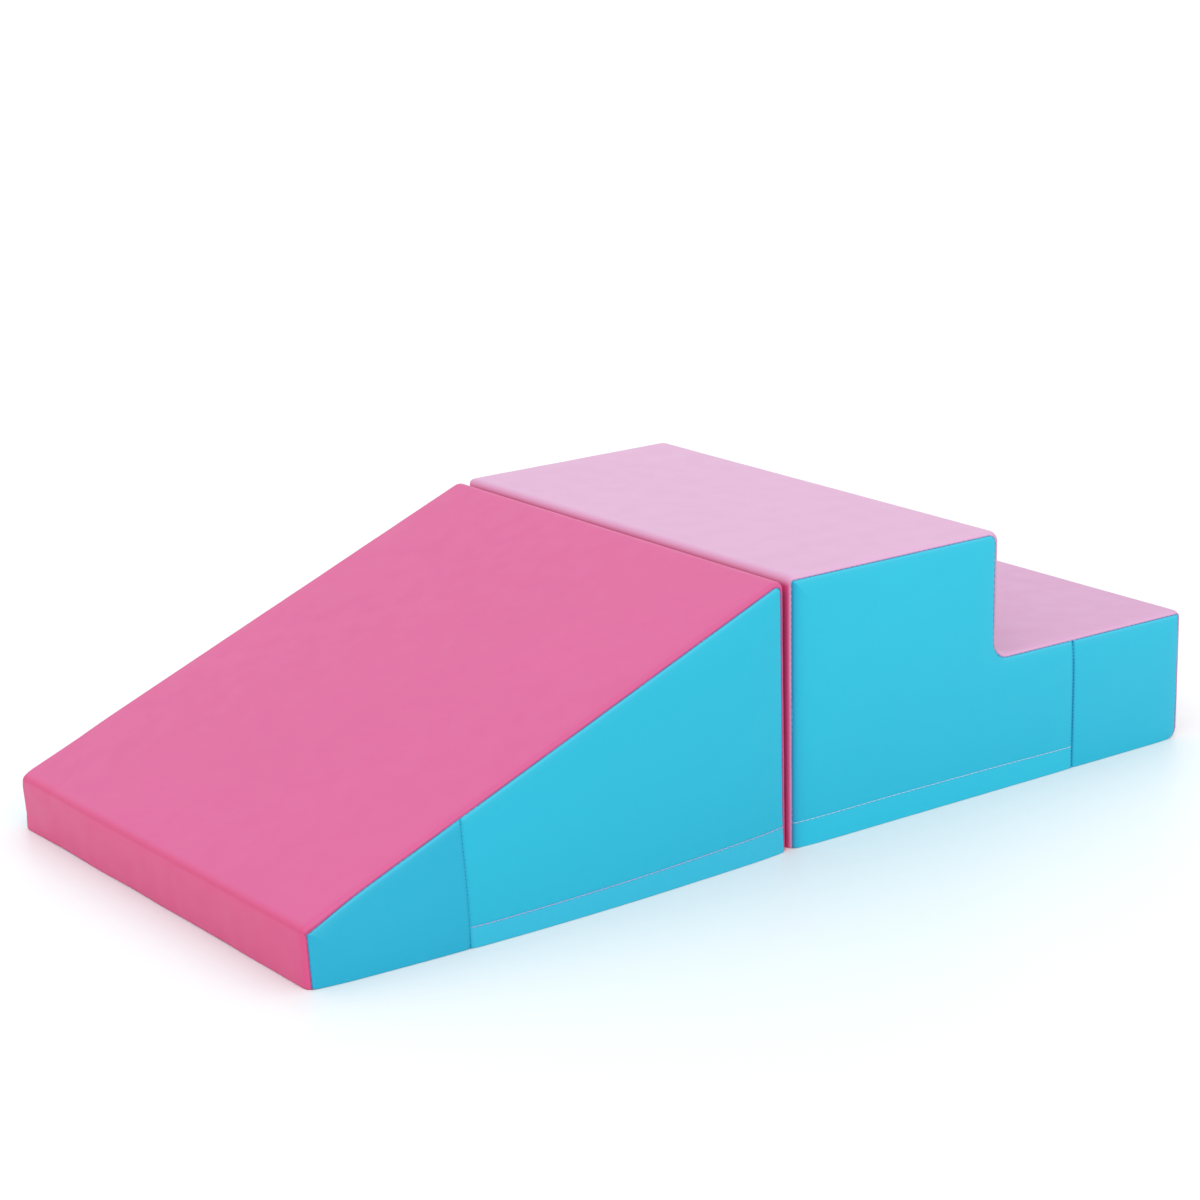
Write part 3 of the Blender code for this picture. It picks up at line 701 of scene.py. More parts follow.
def sewn_sheet(name, points, faces, heights, marks, finish, outward=None):
    """A sheet of cover whose outside stands out from a plain form by a height at each point.

    marks are named values at the points, by which the finish paints shade in the seams, light beside
    them and a second tone.
    """
    normals = sheet_normals(points, faces, outward)
    outer = [point + normal * height for point, normal, height in zip(points, normals, heights)]
    inner = [point - normal * COVER_THICKNESS for point, normal in zip(points, normals)]
    for point in outer + inner:
        point.z = max(point.z, FLOOR_CLEARANCE)
    piece = closed_sheet(name, outer, inner, faces, finish)
    for attribute_name, values in marks.items():
        attribute = piece.data.attributes.new(attribute_name, "FLOAT", "POINT")
        attribute.data.foreach_set("value", list(values) + [0.0] * len(points))
    return piece


def strip_rows(block):
    """Rows across the strip, from the left seam to the right one.

    Each point is its section place, how far across, how far from the seam, and its turn.
    """
    left, right = [half_strip_rows(block.at_side(side), side) for side in SIDES]
    return left + right[-2::-1]


def half_strip_rows(block, side):
    seams = [face.seam_angle - SEAM_GAP / 2 / EDGE_RADIUS for face in block.faces]
    sharpening_start = SHARPENING_START if side < 0 else RIGHT_SHARPENING_START
    half = []
    for step in range(EDGE_STEPS):
        share = 1 - step / EDGE_STEPS
        sharpness = ease((share - sharpening_start) / (1 - sharpening_start))
        angles = [angle * share for angle in seams]
        points, across, angles, turns, _ = edge_line(block, angles, 0, sharpness, nearness=share)
        distances = [EDGE_RADIUS * angle * (1 / share - 1) for angle in angles]
        half.append(list(zip(points, [side * reach for reach in across], distances, turns)))
    flat_half = BLOCK_WIDTH / 2 - EDGE_RADIUS
    for row in range(FLAT_ROWS + 1):
        inward = flat_half * (row / FLAT_ROWS) ** FLAT_ROW_POWER
        crowning = swell(inward / (2 * flat_half))
        points, turns, _ = section(block, [0] * len(block.faces), 0, crowning, 0.0)
        distances = [EDGE_RADIUS * at_turn(seams, turn) + inward for turn in turns]
        half.append(list(zip(points, [side * (flat_half - inward)] * len(points), distances, turns)))
    return half


def add_strip(block, finish, node):
    """The long strip of cover from the toe or foot over the top and down the joint face."""
    rows = strip_rows(block)
    stations = lengths_along([spot[0] for spot in rows[0]])
    face_rim_lightings = [face.rim_lighting for face in block.faces]
    face_tints = [1] + [0] * (len(block.faces) - 1)
    points, heights, shades, rim_lightings, tints = [], [], [], [], []
    for row in rows:
        for (spot, across, distance, turn), station in zip(row, stations):
            point = block.world(spot.x, across, spot.y)
            points.append(point)
            heights.append(strip_height(block, point, distance, station))
            # Painted shade in the seams and painted light beside them
            shades.append(seam_shade(block, spot.x, spot.y, distance))
            rim_lightings.append(beside_seam(face_rim_lightings, turn, distance, RIM_LIGHTING_REACH))
            # The joint face's dark pink, fading over its top edge's rounding as painted shade, with a
            # pale rim by its seams
            inwards = ease((distance - JOINT_RIM) / JOINT_RIM_FADE)
            tints.append(at_turn(face_tints, turn) ** 2 * inwards)
    faces = grid_faces(len(rows), len(rows[0]))
    marks = {"seam_shade": shades, "seam_glow": rim_lightings, "second_tone": tints}
    piece = sewn_sheet(f"{block.name}_sewn_strip", points, faces, heights, marks, finish)
    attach(piece, block.name)
    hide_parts(f"{block.name}_{node}")


def inside_corners(block, point):
    crossings = 0
    for first, second in zip(block.corners, block.corners[1:] + block.corners[:1]):
        if (first.z > point.y) != (second.z > point.y):
            share = (point.y - first.z) / (second.z - first.z)
            crossings += point.x < first.u + (second.u - first.u) * share
    return crossings % 2 == 1


def inner_spots(block, is_main, outline, seam_u):
    """Points inside a side panel: rows beside its upright seam and its stitched hem, then a grid."""
    away = -1 if is_main else 1
    reach = (block.joint, seam_u) if is_main else (seam_u, block.length)
    spots = []
    for offset in UPRIGHT_ROW_OFFSETS:
        for z in span(FLOOR_CLEARANCE, block.height, UPRIGHT_COLUMN_STEP):
            spots.append(Vector((seam_u + away * offset, z)))
    if is_main:
        for offset in STITCH_ROW_OFFSETS:
            for u in span(*reach, COLUMN_STEP):
                spots.append(Vector((u, hem_line(block, u) + offset)))
    for u in span(*reach, PANEL_STEP):
        for z in span(FLOOR_CLEARANCE, block.height, PANEL_STEP):
            spots.append(Vector((u, z)))
    taken = {}
    for point in outline:
        taken.setdefault((point.x // PANEL_CLEARANCE, point.y // PANEL_CLEARANCE), point)
    kept = []
    for spot in spots:
        if spot.y < FLOOR_CLEARANCE + PANEL_CLEARANCE or not inside_corners(block, spot):
            continue
        if nearest_edge(block, spot)[0] < RING_INSETS[-1] + PANEL_CLEARANCE:
            continue
        column, row = spot.x // PANEL_CLEARANCE, spot.y // PANEL_CLEARANCE
        near = [(column + across, row + up) for across in (-1, 0, 1) for up in (-1, 0, 1)]
        if any(cell in taken and (taken[cell] - spot).length < PANEL_CLEARANCE for cell in near):
            continue
        taken[(column, row)] = spot
        kept.append(spot)
    return kept


def rim_rows(block, seam_shift):
    """Rows from the seam over the rounded rim of a side and onto its flat.

    Each point is its section place, how far across, or None on the flat, how far from the seam,
    and its turn.
    """
    seams = [face.seam_angle + SEAM_GAP / 2 / EDGE_RADIUS for face in block.faces]
    rows = []
    seam_angles = []
    for step in range(RIM_STEPS + 1):
        angles = [seam + (math.pi / 2 - seam) * step / RIM_STEPS for seam in seams]
        nearness = 1 - step / RIM_STEPS
        points, across, angles, turns, column = edge_line(
            block, angles, FLOOR_CLEARANCE, seam_shift=seam_shift, nearness=nearness
        )
        seam_angles = seam_angles or angles
        distances = [EDGE_RADIUS * (angle - seam) for angle, seam in zip(angles, seam_angles)]
        rows.append(list(zip(points, across, distances, turns)))
    for inset in RING_INSETS:
        insets = [EDGE_RADIUS + inset] * len(block.faces)
        points, turns, _ = section(block, insets, FLOOR_CLEARANCE, seam_shift=seam_shift)
        distances = [EDGE_RADIUS * (math.pi / 2 - seam) + inset for seam in seam_angles]
        rows.append(list(zip(points, [None] * len(points), distances, turns)))
    return rows, column


def side_layout(block, is_main):
    """One panel of a side: its points with their distances, turns and stations, and its faces."""
    seam_shift = (-1 if is_main else 1) * SEAM_GAP / 2
    rows, seam_column = rim_rows(block, seam_shift)
    stations = lengths_along([spot[0] for spot in rows[0]])
    keep = slice(0, seam_column + 1) if is_main else slice(seam_column, None)
    spots = []
    for row in rows:
        spots += [(*spot, station) for spot, station in zip(row[keep], stations[keep])]
    columns = len(stations[keep])
    faces = grid_faces(len(rows), columns)
    ring_start = (len(rows) - 1) * columns
    ring = [spot[0] for spot in spots[ring_start:]]
    seam_u = block.seam + seam_shift
    seam_end, floor_end = (ring[-1], ring[0]) if is_main else (ring[0], ring[-1])
    down = [Vector((seam_u, z)) for z in span(seam_end.y, FLOOR_CLEARANCE, UPRIGHT_COLUMN_STEP)]
    down.append(Vector((seam_u, FLOOR_CLEARANCE)))
    bottom = [Vector((u, FLOOR_CLEARANCE)) for u in span(seam_u, floor_end.x, HEM_EDGE_STEP)]
    outline = ring + down + bottom if is_main else ring + bottom[::-1] + down[::-1]
    inside = inner_spots(block, is_main, outline, seam_u)
    loop = list(range(len(outline)))[::-1]
    flat, _, triangles, sources, _, owners = delaunay_2d_cdt(
        outline + inside, [], [loop], 1, TRIANGULATION_TOLERANCE, True
    )
    numbers = {}
    for index, source in enumerate(sources):
        on_ring = [number for number in source if number < columns]
        if on_ring:
            numbers[index] = ring_start + on_ring[0]
        else:
            numbers[index] = len(spots)
            number = nearest_edge(block, flat[index])[1]
            spots.append((flat[index], None, distance_to_seam(block, flat[index]), number, 0))
    kept = [triangle for triangle, owner in zip(triangles, owners) if owner]
    faces += [tuple(numbers[index] for index in triangle) for triangle in kept]
    return spots, faces


def add_side(block, side, panel, nodes, finish):
    """One panel of a side. The main one carries the hem, which flares out below its stitching."""
    is_main = panel == "side"
    face_rim_lightings = [face.rim_lighting for face in block.faces]
    face_shadows = [face.shadow for face in block.faces]
    points, heights, shades, rim_lightings, lows = [], [], [], [], []
    spots, faces = side_layout(block, is_main)
    for spot, across, distance, turn, station in spots:
        if across is None:
            across = BLOCK_WIDTH / 2 + side_swell(block, spot)
        points.append(block.world(spot.x, side * across, spot.y))
        heights.append(side_height(block, spot.x, spot.y, side, distance, station))
        # Painted shade in the seams, painted shadow beside the joint, and painted shade along the
        # upright seam
        shade = seam_shade(block, spot.x, spot.y, distance)
        shadow = beside_seam(face_shadows, turn, distance, SHADOW_REACH)
        upright = block.upright_shade * ease(1 - abs(spot.x - block.seam) / UPRIGHT_SHADE_REACH)
        shades.append(max(shade, shadow, upright))
        # Painted light beside the seams
        rim_lightings.append(beside_seam(face_rim_lightings, turn, distance, RIM_LIGHTING_REACH))
        # The hem's second tone below its stitching: a painted highlight
        below = hem_line(block, spot.x) - spot.y
        lows.append(ease(0.5 + below / STITCH_DENT_REACH) if is_main else 0)
    marks = {"seam_shade": shades, "seam_glow": rim_lightings, "second_tone": lows}
    name = f"{block.name}_sewn_{panel}_{SIDES[side]}"
    piece = sewn_sheet(name, points, faces, heights, marks, finish, Vector((0, side, 0)))
    if is_main:
        bend_at_hem(piece, block, side)
    else:
        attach(piece, block.name)
    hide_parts(*[f"{block.name}_{node}_{SIDES[side]}" for node in nodes])


def bend_at_hem(piece, block, side):
    """Bakes the piece's place into its points, without attaching it to the block or a hem flap."""
    middle = block.world(block.seam / 2, side * BLOCK_WIDTH / 2, hem_line(block, block.seam / 2))
    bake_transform(piece)


def rods(name, runs, sides, finish):
    """Closed rods, each along a run of centres with an outward direction and a radius."""
    points, faces = [], []
    turns = [math.tau * corner / sides for corner in range(sides)]
    for run in runs:
        base = len(points)
        for number, (centre, out, radius) in enumerate(run):
            before, after = run[max(number - 1, 0)][0], run[min(number + 1, len(run) - 1)][0]
            beside = (after - before).cross(out).normalized()
            for angle in turns:
                turned = out * math.cos(angle) + beside * math.sin(angle)
                points.append(centre + turned * radius)
        last = len(points) - sides
        for low in range(base, last, sides):
            for corner in range(sides):
                after = (corner + 1) % sides
                faces.append((low + corner, low + after, low + after + sides, low + corner + sides))
        faces.append(tuple(range(base, base + sides))[::-1])
        faces.append(tuple(range(last, last + sides)))
    return mesh_piece(name, points, faces, finish)


def place_along(lengths, station):
    """The number of the point before a station on a path, and the share of the way to the next."""
    before = min(max(bisect_left(lengths, station) - 1, 0), len(lengths) - 2)
    return before, (station - lengths[before]) / (lengths[before + 1] - lengths[before])


def stitch_runs(path, outs, radius, rest=0.0, scale=1.0):
    """Runs for a row of stitches from end to end of a path, each dipping into the cover."""
    lengths = lengths_along(path)
    stitch_length = STITCH_LENGTH * scale
    gaps = round((lengths[-1] - stitch_length) / (STITCH_PITCH * scale))
    pitch = (lengths[-1] - stitch_length) / gaps
    runs = []
    for number in range(gaps + 1):
        run = []
        for ring in range(THREAD_RINGS):
            share = ring / (THREAD_RINGS - 1)
            before, local = place_along(lengths, number * pitch + stitch_length * share)
            out = outs[before].lerp(outs[before + 1], local).normalized()
            lift = rest + STITCH_ARCH * (swell(share) * 2 - 1)
            size = radius * (THREAD_END_SHARE + (1 - THREAD_END_SHARE) * swell(share))
            run.append((path[before].lerp(path[before + 1], local) + out * lift, out, size))
        runs.append(run)
    return runs


def add_stitches(name, runs, finish, block, flap_side=None):
    """A row of stitches, attached to the block, or baked in place when a flap side is given."""
    piece = rods(name, runs, THREAD_SIDES, finish)
    if flap_side is None:
        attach(piece, block.name)
    else:
        bend_at_hem(piece, block, flap_side)


def outward_along(block, points, angles, side):
    """The cover's outward direction at each point of a line round the block's edge."""
    outs = []
    for number, angle in enumerate(angles):
        before, after = points[max(number - 1, 0)], points[min(number + 1, len(points) - 1)]
        along = (after - before).normalized()
        flat = Vector((-along.y * block.facing, 0, along.x))
        outs.append(flat * math.cos(angle) + Vector((0, side * math.sin(angle), 0)))
    return outs


def seam_thread_line(block, side, angles, nearness=0.0):
    """The path of the thread in a seam that lies at an angle on each face.

    It comes with its outward directions, its section points, and the number of the one on the
    upright seam.
    """
    points, across, angles, _, column = edge_line(block, angles, FLOOR_CLEARANCE, nearness=nearness)
    outs = outward_along(block, points, angles, side)
    path = []
    for point, reach, out in zip(points, across, outs):
        path.append(block.world(point.x, side * reach, point.y) - out * (SEAM_DEPTH + SEAM_PINCH))
    return path, outs, points, column


def add_seam_stitches(block, side, finish):
    """The stitches that show in the seam round a side."""
    seams = [face.seam_angle for face in block.faces]
    path, outs, _, _ = seam_thread_line(block, side, seams, nearness=1)
    runs = stitch_runs(path, outs, SEAM_THREAD_RADIUS)
    add_stitches(f"{block.name}_seam_stitches_{SIDES[side]}", runs, finish, block)


def side_spot(block, side, u, z):
    """A point on a side's finished surface, away from its rounded edges."""
    spot = Vector((u, z))
    across = BLOCK_WIDTH / 2 + side_swell(block, spot)
    across += side_height(block, u, z, side, distance_to_seam(block, spot), 0)
    return block.world(u, side * across, z)


def add_upright_stitches(block, side, finish):
    """The stitches of the upright seam, over the rounded edge and down the side."""
    path, outs = [], []
    for step in range(RIM_STEPS):
        angles = []
        for face in block.faces:
            angles.append(face.seam_angle + (math.pi / 2 - face.seam_angle) * step / RIM_STEPS)
        line, line_outs, points, column = seam_thread_line(block, side, angles)
        path.append(line[column])
        outs.append(line_outs[column])
    top = points[column].y - EDGE_RADIUS / RIM_STEPS
    for z in [top, *span(top, FLOOR_CLEARANCE, COLUMN_STEP)]:
        path.append(side_spot(block, side, block.seam, z))
        outs.append(Vector((0, side, 0)))
    radius = block.upright_thread
    runs = stitch_runs(path, outs, radius, radius / 2, UPRIGHT_STITCH_SCALE)
    add_stitches(f"{block.name}_upright_stitches_{SIDES[side]}", runs, finish, block)


def add_hem_stitches(block, side, finish):
    """The topstitching that holds the hem and the zip's upper tape."""
    path, outs = [], []
    start = block.faces[0].seam_angle
    for step in range(RIM_STEPS):
        angle = start + (math.pi / 2 - start) * (step + 1) / (RIM_STEPS + 1)
        u = block.joint + EDGE_RADIUS * (1 - math.cos(angle))
        across = BLOCK_WIDTH / 2 - EDGE_RADIUS + EDGE_RADIUS * math.sin(angle)
        path.append(block.world(u, side * across, hem_line(block, 0)))
        outs.append(Vector((-block.facing * math.cos(angle), side * math.sin(angle), 0)))
    for u in span(block.joint + EDGE_RADIUS, block.seam, COLUMN_STEP):
        path.append(side_spot(block, side, u, hem_line(block, u)))
        outs.append(Vector((0, side, 0)))
    runs = stitch_runs(path, outs, TOP_THREAD_RADIUS, TOP_THREAD_RADIUS / 2)
    add_stitches(f"{block.name}_hem_stitches_{SIDES[side]}", runs, finish, block, side)


def add_joint_stitches(block, finish):
    """The same topstitching where it runs on across the joint face."""
    half = BLOCK_WIDTH / 2 - EDGE_RADIUS
    path = []
    for y in span(-half, half, COLUMN_STEP):
        path.append(block.world(joint_surface(block, y, STITCH_HEIGHT), y, STITCH_HEIGHT))
    outs = [Vector((-block.facing, 0, 0))] * len(path)
    runs = stitch_runs(path, outs, TOP_THREAD_RADIUS)
    add_stitches(f"{block.name}_joint_stitches", runs, finish, block)


def hem_route(block, corner_inset, radius, side_out, joint_at):
    """Plan points (u, y) from the left upright seam round the joint face to the right one."""
    start = block.seam - ZIP_END_MARGIN
    half = BLOCK_WIDTH / 2 - corner_inset
    turn_u = joint_at(half) + corner_inset
    left = []
    for step in range(ROUTE_SIDE_STEPS):
        u = start + (turn_u - start) * step / ROUTE_SIDE_STEPS
        left.append((u, -half - radius - side_out(u)))
    for step in range(ROUTE_TURN_STEPS + 1):
        angle = math.pi / 2 * step / ROUTE_TURN_STEPS
        left.append((turn_u - radius * math.sin(angle), -half - radius * math.cos(angle)))
    depth = corner_inset - radius
    middle = [(joint_at(y) + depth, y) for y in span(-half, half, 2 * half / ROUTE_BACK_STEPS)]
    return left + middle + [(u, -y) for u, y in reversed(left)]


def zip_line(block, depth, height):
    """The zip's own line: straight along the sides and across the joint face."""
    inset = ZIP_TAPE_DEPTH + ZIP_CORNER_RADIUS
    plan = hem_route(block, inset, inset - depth, lambda u: 0, lambda y: 0)
    return [block.world(u, y, height) for u, y in plan]


def cover_line(block, depth, height):
    """The line behind the cover's stitching, which follows the slack of the sides."""

    def side_out(u):
        return side_swell(block, Vector((u, height)))

    def joint_at(y):
        return joint_surface(block, y, height)

    plan = hem_route(block, EDGE_RADIUS, EDGE_RADIUS - depth, side_out, joint_at)
    return [block.world(u, y, height) for u, y in plan]


def add_tape(block, word, heights, finish):
    """One tape of the zip. The upper one's top edge is sewn on behind the cover."""
    name = f"{block.name}_zip_{word}_tape"
    surfaces = []
    for depth in (0, ZIP_TAPE_THICKNESS):
        lines = [zip_line(block, ZIP_FRONT + depth, height) for height in heights]
        if word == "upper":
            behind = COVER_THICKNESS + ZIP_TAPE_STANDOFF + depth
            lines.append(cover_line(block, behind, STITCH_HEIGHT + ZIP_TAPE_LAP))
        surfaces.append(sum(lines, []))
    piece = closed_sheet(f"{name}_woven", *surfaces, grid_faces(len(lines), len(lines[0])), finish)
    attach(piece, block.name)
    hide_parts(name)


def add_coil(block, finish):
    """The closed coil's turns, alternately from the lower and the upper tape."""
    half = ZIP_COIL_HEIGHT / 2
    lean = COIL_PITCH / 4
    # Each centre of a turn: how far towards its own tape, how far along the zip, and its radius
    turn = (
        (half, -lean, COIL_WIRE_RADIUS / 2),
        (half - COIL_OVERLAP, -lean / 2, COIL_WIRE_RADIUS),
        (0, 0, COIL_WIRE_RADIUS),
        (-COIL_OVERLAP, lean, COIL_WIRE_RADIUS / 2),
    )
    path = zip_line(block, ZIP_FRONT - FIT_CLEARANCE - ZIP_COIL_THICKNESS / 2, ZIP_HEIGHT)
    lengths = lengths_along(path)
    runs = []
    for number in range(int(lengths[-1] / (COIL_PITCH / 2))):
        before, share = place_along(lengths, (number + 0.5) * (COIL_PITCH / 2))
        place = path[before].lerp(path[before + 1], share)
        along = (path[before + 1] - path[before]).normalized()
        up = Vector((0, 0, 1 if number % 2 else -1))
        out = along.cross(Vector((0, 0, 1)))
        runs.append([(place + up * rise + along * shift, out, radius) for rise, shift, radius in turn])
    piece = rods(f"{block.name}_zip_coil_turns", runs, THREAD_SIDES, finish)
    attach(piece, block.name)
    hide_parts(f"{block.name}_zip_coil")


def add_zip(block, tape_finish, coil_finish, slider_finish):
    """Both tapes, the coil between them and the slider."""
    half_coil = ZIP_COIL_HEIGHT / 2
    low = BASE_THICKNESS + FIT_CLEARANCE
    below, above = ZIP_HEIGHT - FIT_CLEARANCE / 2, ZIP_HEIGHT + FIT_CLEARANCE / 2
    add_tape(block, "lower", (low, ZIP_HEIGHT - half_coil, below), tape_finish)
    upper = (above, ZIP_HEIGHT + half_coil, ZIP_HEIGHT + ZIP_COIL_HEIGHT)
    add_tape(block, "upper", upper, tape_finish)
    add_coil(block, coil_finish)
    node = f"{block.name}_zip_slider"
    slider = bevelled_copy(node, f"{node}_body", slider_finish, SLIDER_EDGE_RADIUS)
    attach(slider, f"{block.name}_slider")


def bevelled_copy(node, name, finish, radius):
    """A copy of a solid with its cut edges softened."""
    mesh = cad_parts[node].data.copy()
    mesh.materials.clear()
    mesh.materials.append(finish)
    piece = linked(name, mesh)
    bevel = piece.modifiers.new("softened_edges", "BEVEL")
    bevel.width = radius
    bevel.segments = 2
    bevel.limit_method = "ANGLE"
    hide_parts(node)
    return piece


def add_planks(block, finish):
    """The laminated planks of foam inside the cover."""
    for name in sorted(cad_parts):
        if name.startswith(f"{block.name}_core_layer"):
            plank = bevelled_copy(name, f"{name}_foam", finish, CUT_EDGE_RADIUS)
            for vert in plank.data.vertices:
                sunk = sunk_corner(block, plank.matrix_world @ vert.co)
                vert.co -= vert.co.normalized() * (sunk * FOAM_SINKING)
            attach(plank, block.name)


def add_base(block, sheet_finish, dot_finish):
    """The grip sheet underneath, cut back along the zip, and the rubber dots printed on it."""
    narrow = ZIP_TAPE_DEPTH + BASE_INSET - FIT_CLEARANCE
    half_narrow = BLOCK_WIDTH / 2 - narrow
    half_wide = BLOCK_WIDTH / 2 - COVER_THICKNESS - FIT_CLEARANCE - BASE_INSET
    end = block.corners[-1].u - max(block.corners[-1].radius, BASE_END_INSET) - BASE_INSET
    half = [(narrow, half_narrow), (block.seam, half_narrow), (block.seam, half_wide), (end, half_wide)]
    plan = half + [(u, -y) for u, y in reversed(half)]
    count = len(plan)
    low = FLOOR_CLEARANCE + BASE_INSET / 2
    points = [block.world(u, y, z) for z in (low, BASE_THICKNESS) for u, y in plan]
    faces = [tuple(range(count)), tuple(range(count, 2 * count))[::-1]]
    faces += [(n, (n + 1) % count, (n + 1) % count + count, n + count) for n in range(count)]
    sheet = mesh_piece(f"{block.name}_base_sheet", points, faces, sheet_finish)
    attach(sheet, block.name)
    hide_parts(f"{block.name}_base_panel")
    rings = (
        (low + FIT_CLEARANCE / 2, GRIP_DOT_RADIUS),
        (FLOOR_CLEARANCE / 2, GRIP_DOT_RADIUS),
        (FLOOR_CLEARANCE / 6, GRIP_DOT_RADIUS * GRIP_DOT_TIP_SHARE),
    )
    runs = []
    margin = GRIP_DOT_PITCH / 2
    reach = half_narrow - margin
    for row, u in enumerate(span(narrow + margin, end - margin, GRIP_DOT_PITCH)):
        shift = margin * (row % 2)
        for y in span(-reach + shift, reach - margin + shift, GRIP_DOT_PITCH):
            runs.append([(block.world(u, y, z), Vector((1, 0, 0)), radius) for z, radius in rings])
    dots = rods(f"{block.name}_base_dots", runs, DOT_SIDES, dot_finish)
    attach(dots, block.name)


def pile_height(kind, y, z, border):
    """How far a fastening strip's pile stands up, in rows of hooks or as tangled loops."""
    if border < STRIP_BORDER:
        return 0
    if kind == "hook":
        rows = math.sin(math.tau * y / STRIP_PILE_PITCH) * math.sin(math.tau * z / STRIP_PILE_PITCH)
        return STRIP_PILE_HEIGHT * (0.5 + 0.5 * rows)
    tangle = noise.noise(Vector((y, z, 0)) / (STRIP_PILE_PITCH / 2))
    return STRIP_PILE_HEIGHT * clamped(LOOP_LEVEL + LOOP_SPREAD * tangle)


def add_fastening_strip(block, kind, word, height, finish, thread_finish):
    """One strip on the joint face, with a flat border, its pile and the stitches round it."""

    def strip_point(y, z, thickness):
        face = joint_surface(block, y, height + z) - STRIP_CLEARANCE
        return block.world(face - thickness, y, height + z)

    columns, rows = round(STRIP_LENGTH / STRIP_STEP) + 1, round(STRIP_WIDTH / STRIP_STEP) + 1
    outer, inner = [], []
    for row in range(rows):
        z = STRIP_WIDTH * (row / (rows - 1) - 0.5)
        for column in range(columns):
            y = STRIP_LENGTH * (column / (columns - 1) - 0.5)
            border = min(STRIP_LENGTH / 2 - abs(y), STRIP_WIDTH / 2 - abs(z))
            level = ease(border / STRIP_EDGE_REACH)
            thickness = STRIP_BACKING * (STRIP_EDGE_SHARE + (1 - STRIP_EDGE_SHARE) * level)
            outer.append(strip_point(y, z, thickness + pile_height(kind, y, z, border)))
            inner.append(strip_point(y, z, 0))
    name = f"{block.name}_{kind}_strip_{word}"
    piece = closed_sheet(f"{name}_pile", outer, inner, grid_faces(rows, columns), finish)
    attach(piece, block.name)
    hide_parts(name)
    reach, rise = STRIP_LENGTH / 2 - STRIP_STITCH_INSET, STRIP_WIDTH / 2 - STRIP_STITCH_INSET
    corners = [(-reach, -rise), (reach, -rise), (reach, rise), (-reach, rise), (-reach, -rise)]
    path = [strip_point(y, z, STRIP_BACKING) for y, z in corners]
    outs = [Vector((-block.facing, 0, 0))] * len(path)
    runs = stitch_runs(path, outs, SEAM_THREAD_RADIUS)
    add_stitches(f"{name}_stitches", runs, thread_finish, block)


class Nodes:
    """A node tree in the making, and the coordinates that its patterns follow."""

    def __init__(self, owner, space="Object"):
        owner.use_nodes = True
        self.owner = owner
        self.tree = owner.node_tree
        self.place = self.add("ShaderNodeTexCoord").outputs[space]

    def fill(self, node, inputs):
        """Gives inputs of a node a number, a colour or the output of another node."""
        sockets = {socket.identifier: socket for socket in node.inputs}
        for name, value in inputs.items():
            if isinstance(value, bpy.types.NodeSocket):
                self.tree.links.new(value, sockets[name])
            else:
                sockets[name].default_value = (*value, 1) if isinstance(value, tuple) else value

    def add(self, kind, inputs=None):
        node = self.tree.nodes.new(kind)
        self.fill(node, inputs or {})
        return node

    def noise(self, scale, detail=2.0):
        inputs = {"Vector": self.place, "Scale": scale, "Detail": detail}
        return self.add("ShaderNodeTexNoise", inputs).outputs["Fac"]

    def cells(self, scale, feature="F1"):
        texture = self.add("ShaderNodeTexVoronoi", {"Vector": self.place, "Scale": scale})
        texture.feature = feature
        return texture.outputs["Distance"]

    def height(self):
        """How high a point lies."""
        return self.add("ShaderNodeSeparateXYZ", {"Vector": self.place}).outputs["Z"]

    def marked(self, name):
        """A value that the mesh's points carry."""
        mark = self.add("ShaderNodeAttribute")
        mark.attribute_name = name
        return mark.outputs["Fac"]

    def ranged(self, source, low=0.0, high=1.0, to_low=0.0, to_high=1.0):
        """A value taken from one range to another."""
        ends = {"From Min": low, "From Max": high, "To Min": to_low, "To Max": to_high}
        return self.add("ShaderNodeMapRange", {"Value": source, **ends}).outputs["Result"]

    def mixed(self, factor, first, second):
        """A blend of two colours."""
        mix = self.add("ShaderNodeMix")
        mix.data_type = "RGBA"
        self.fill(mix, {"Factor_Float": factor, "A_Color": first, "B_Color": second})
        return next(socket for socket in mix.outputs if socket.identifier == "Result_Color")

    def added(self, first, second):
        total = self.add("ShaderNodeMath", {"Value": first, "Value_001": second})
        total.operation = "ADD"
        return total.outputs["Value"]

    def bumped(self, height, depth, strength, onto=None):
        inputs = {"Height": height, "Distance": depth, "Strength": strength}
        if onto is not None:
            inputs["Normal"] = onto
        return self.add("ShaderNodeBump", inputs).outputs["Normal"]

    def shaded(self, inputs):
        """The finished material, from what its shader takes."""
        self.fill(self.tree.nodes["Principled BSDF"], inputs)
        return self.owner


def new_material(name):
    return Nodes(bpy.data.materials.new(name))


def darker(colour, share):
    return tuple(channel * share for channel in colour)


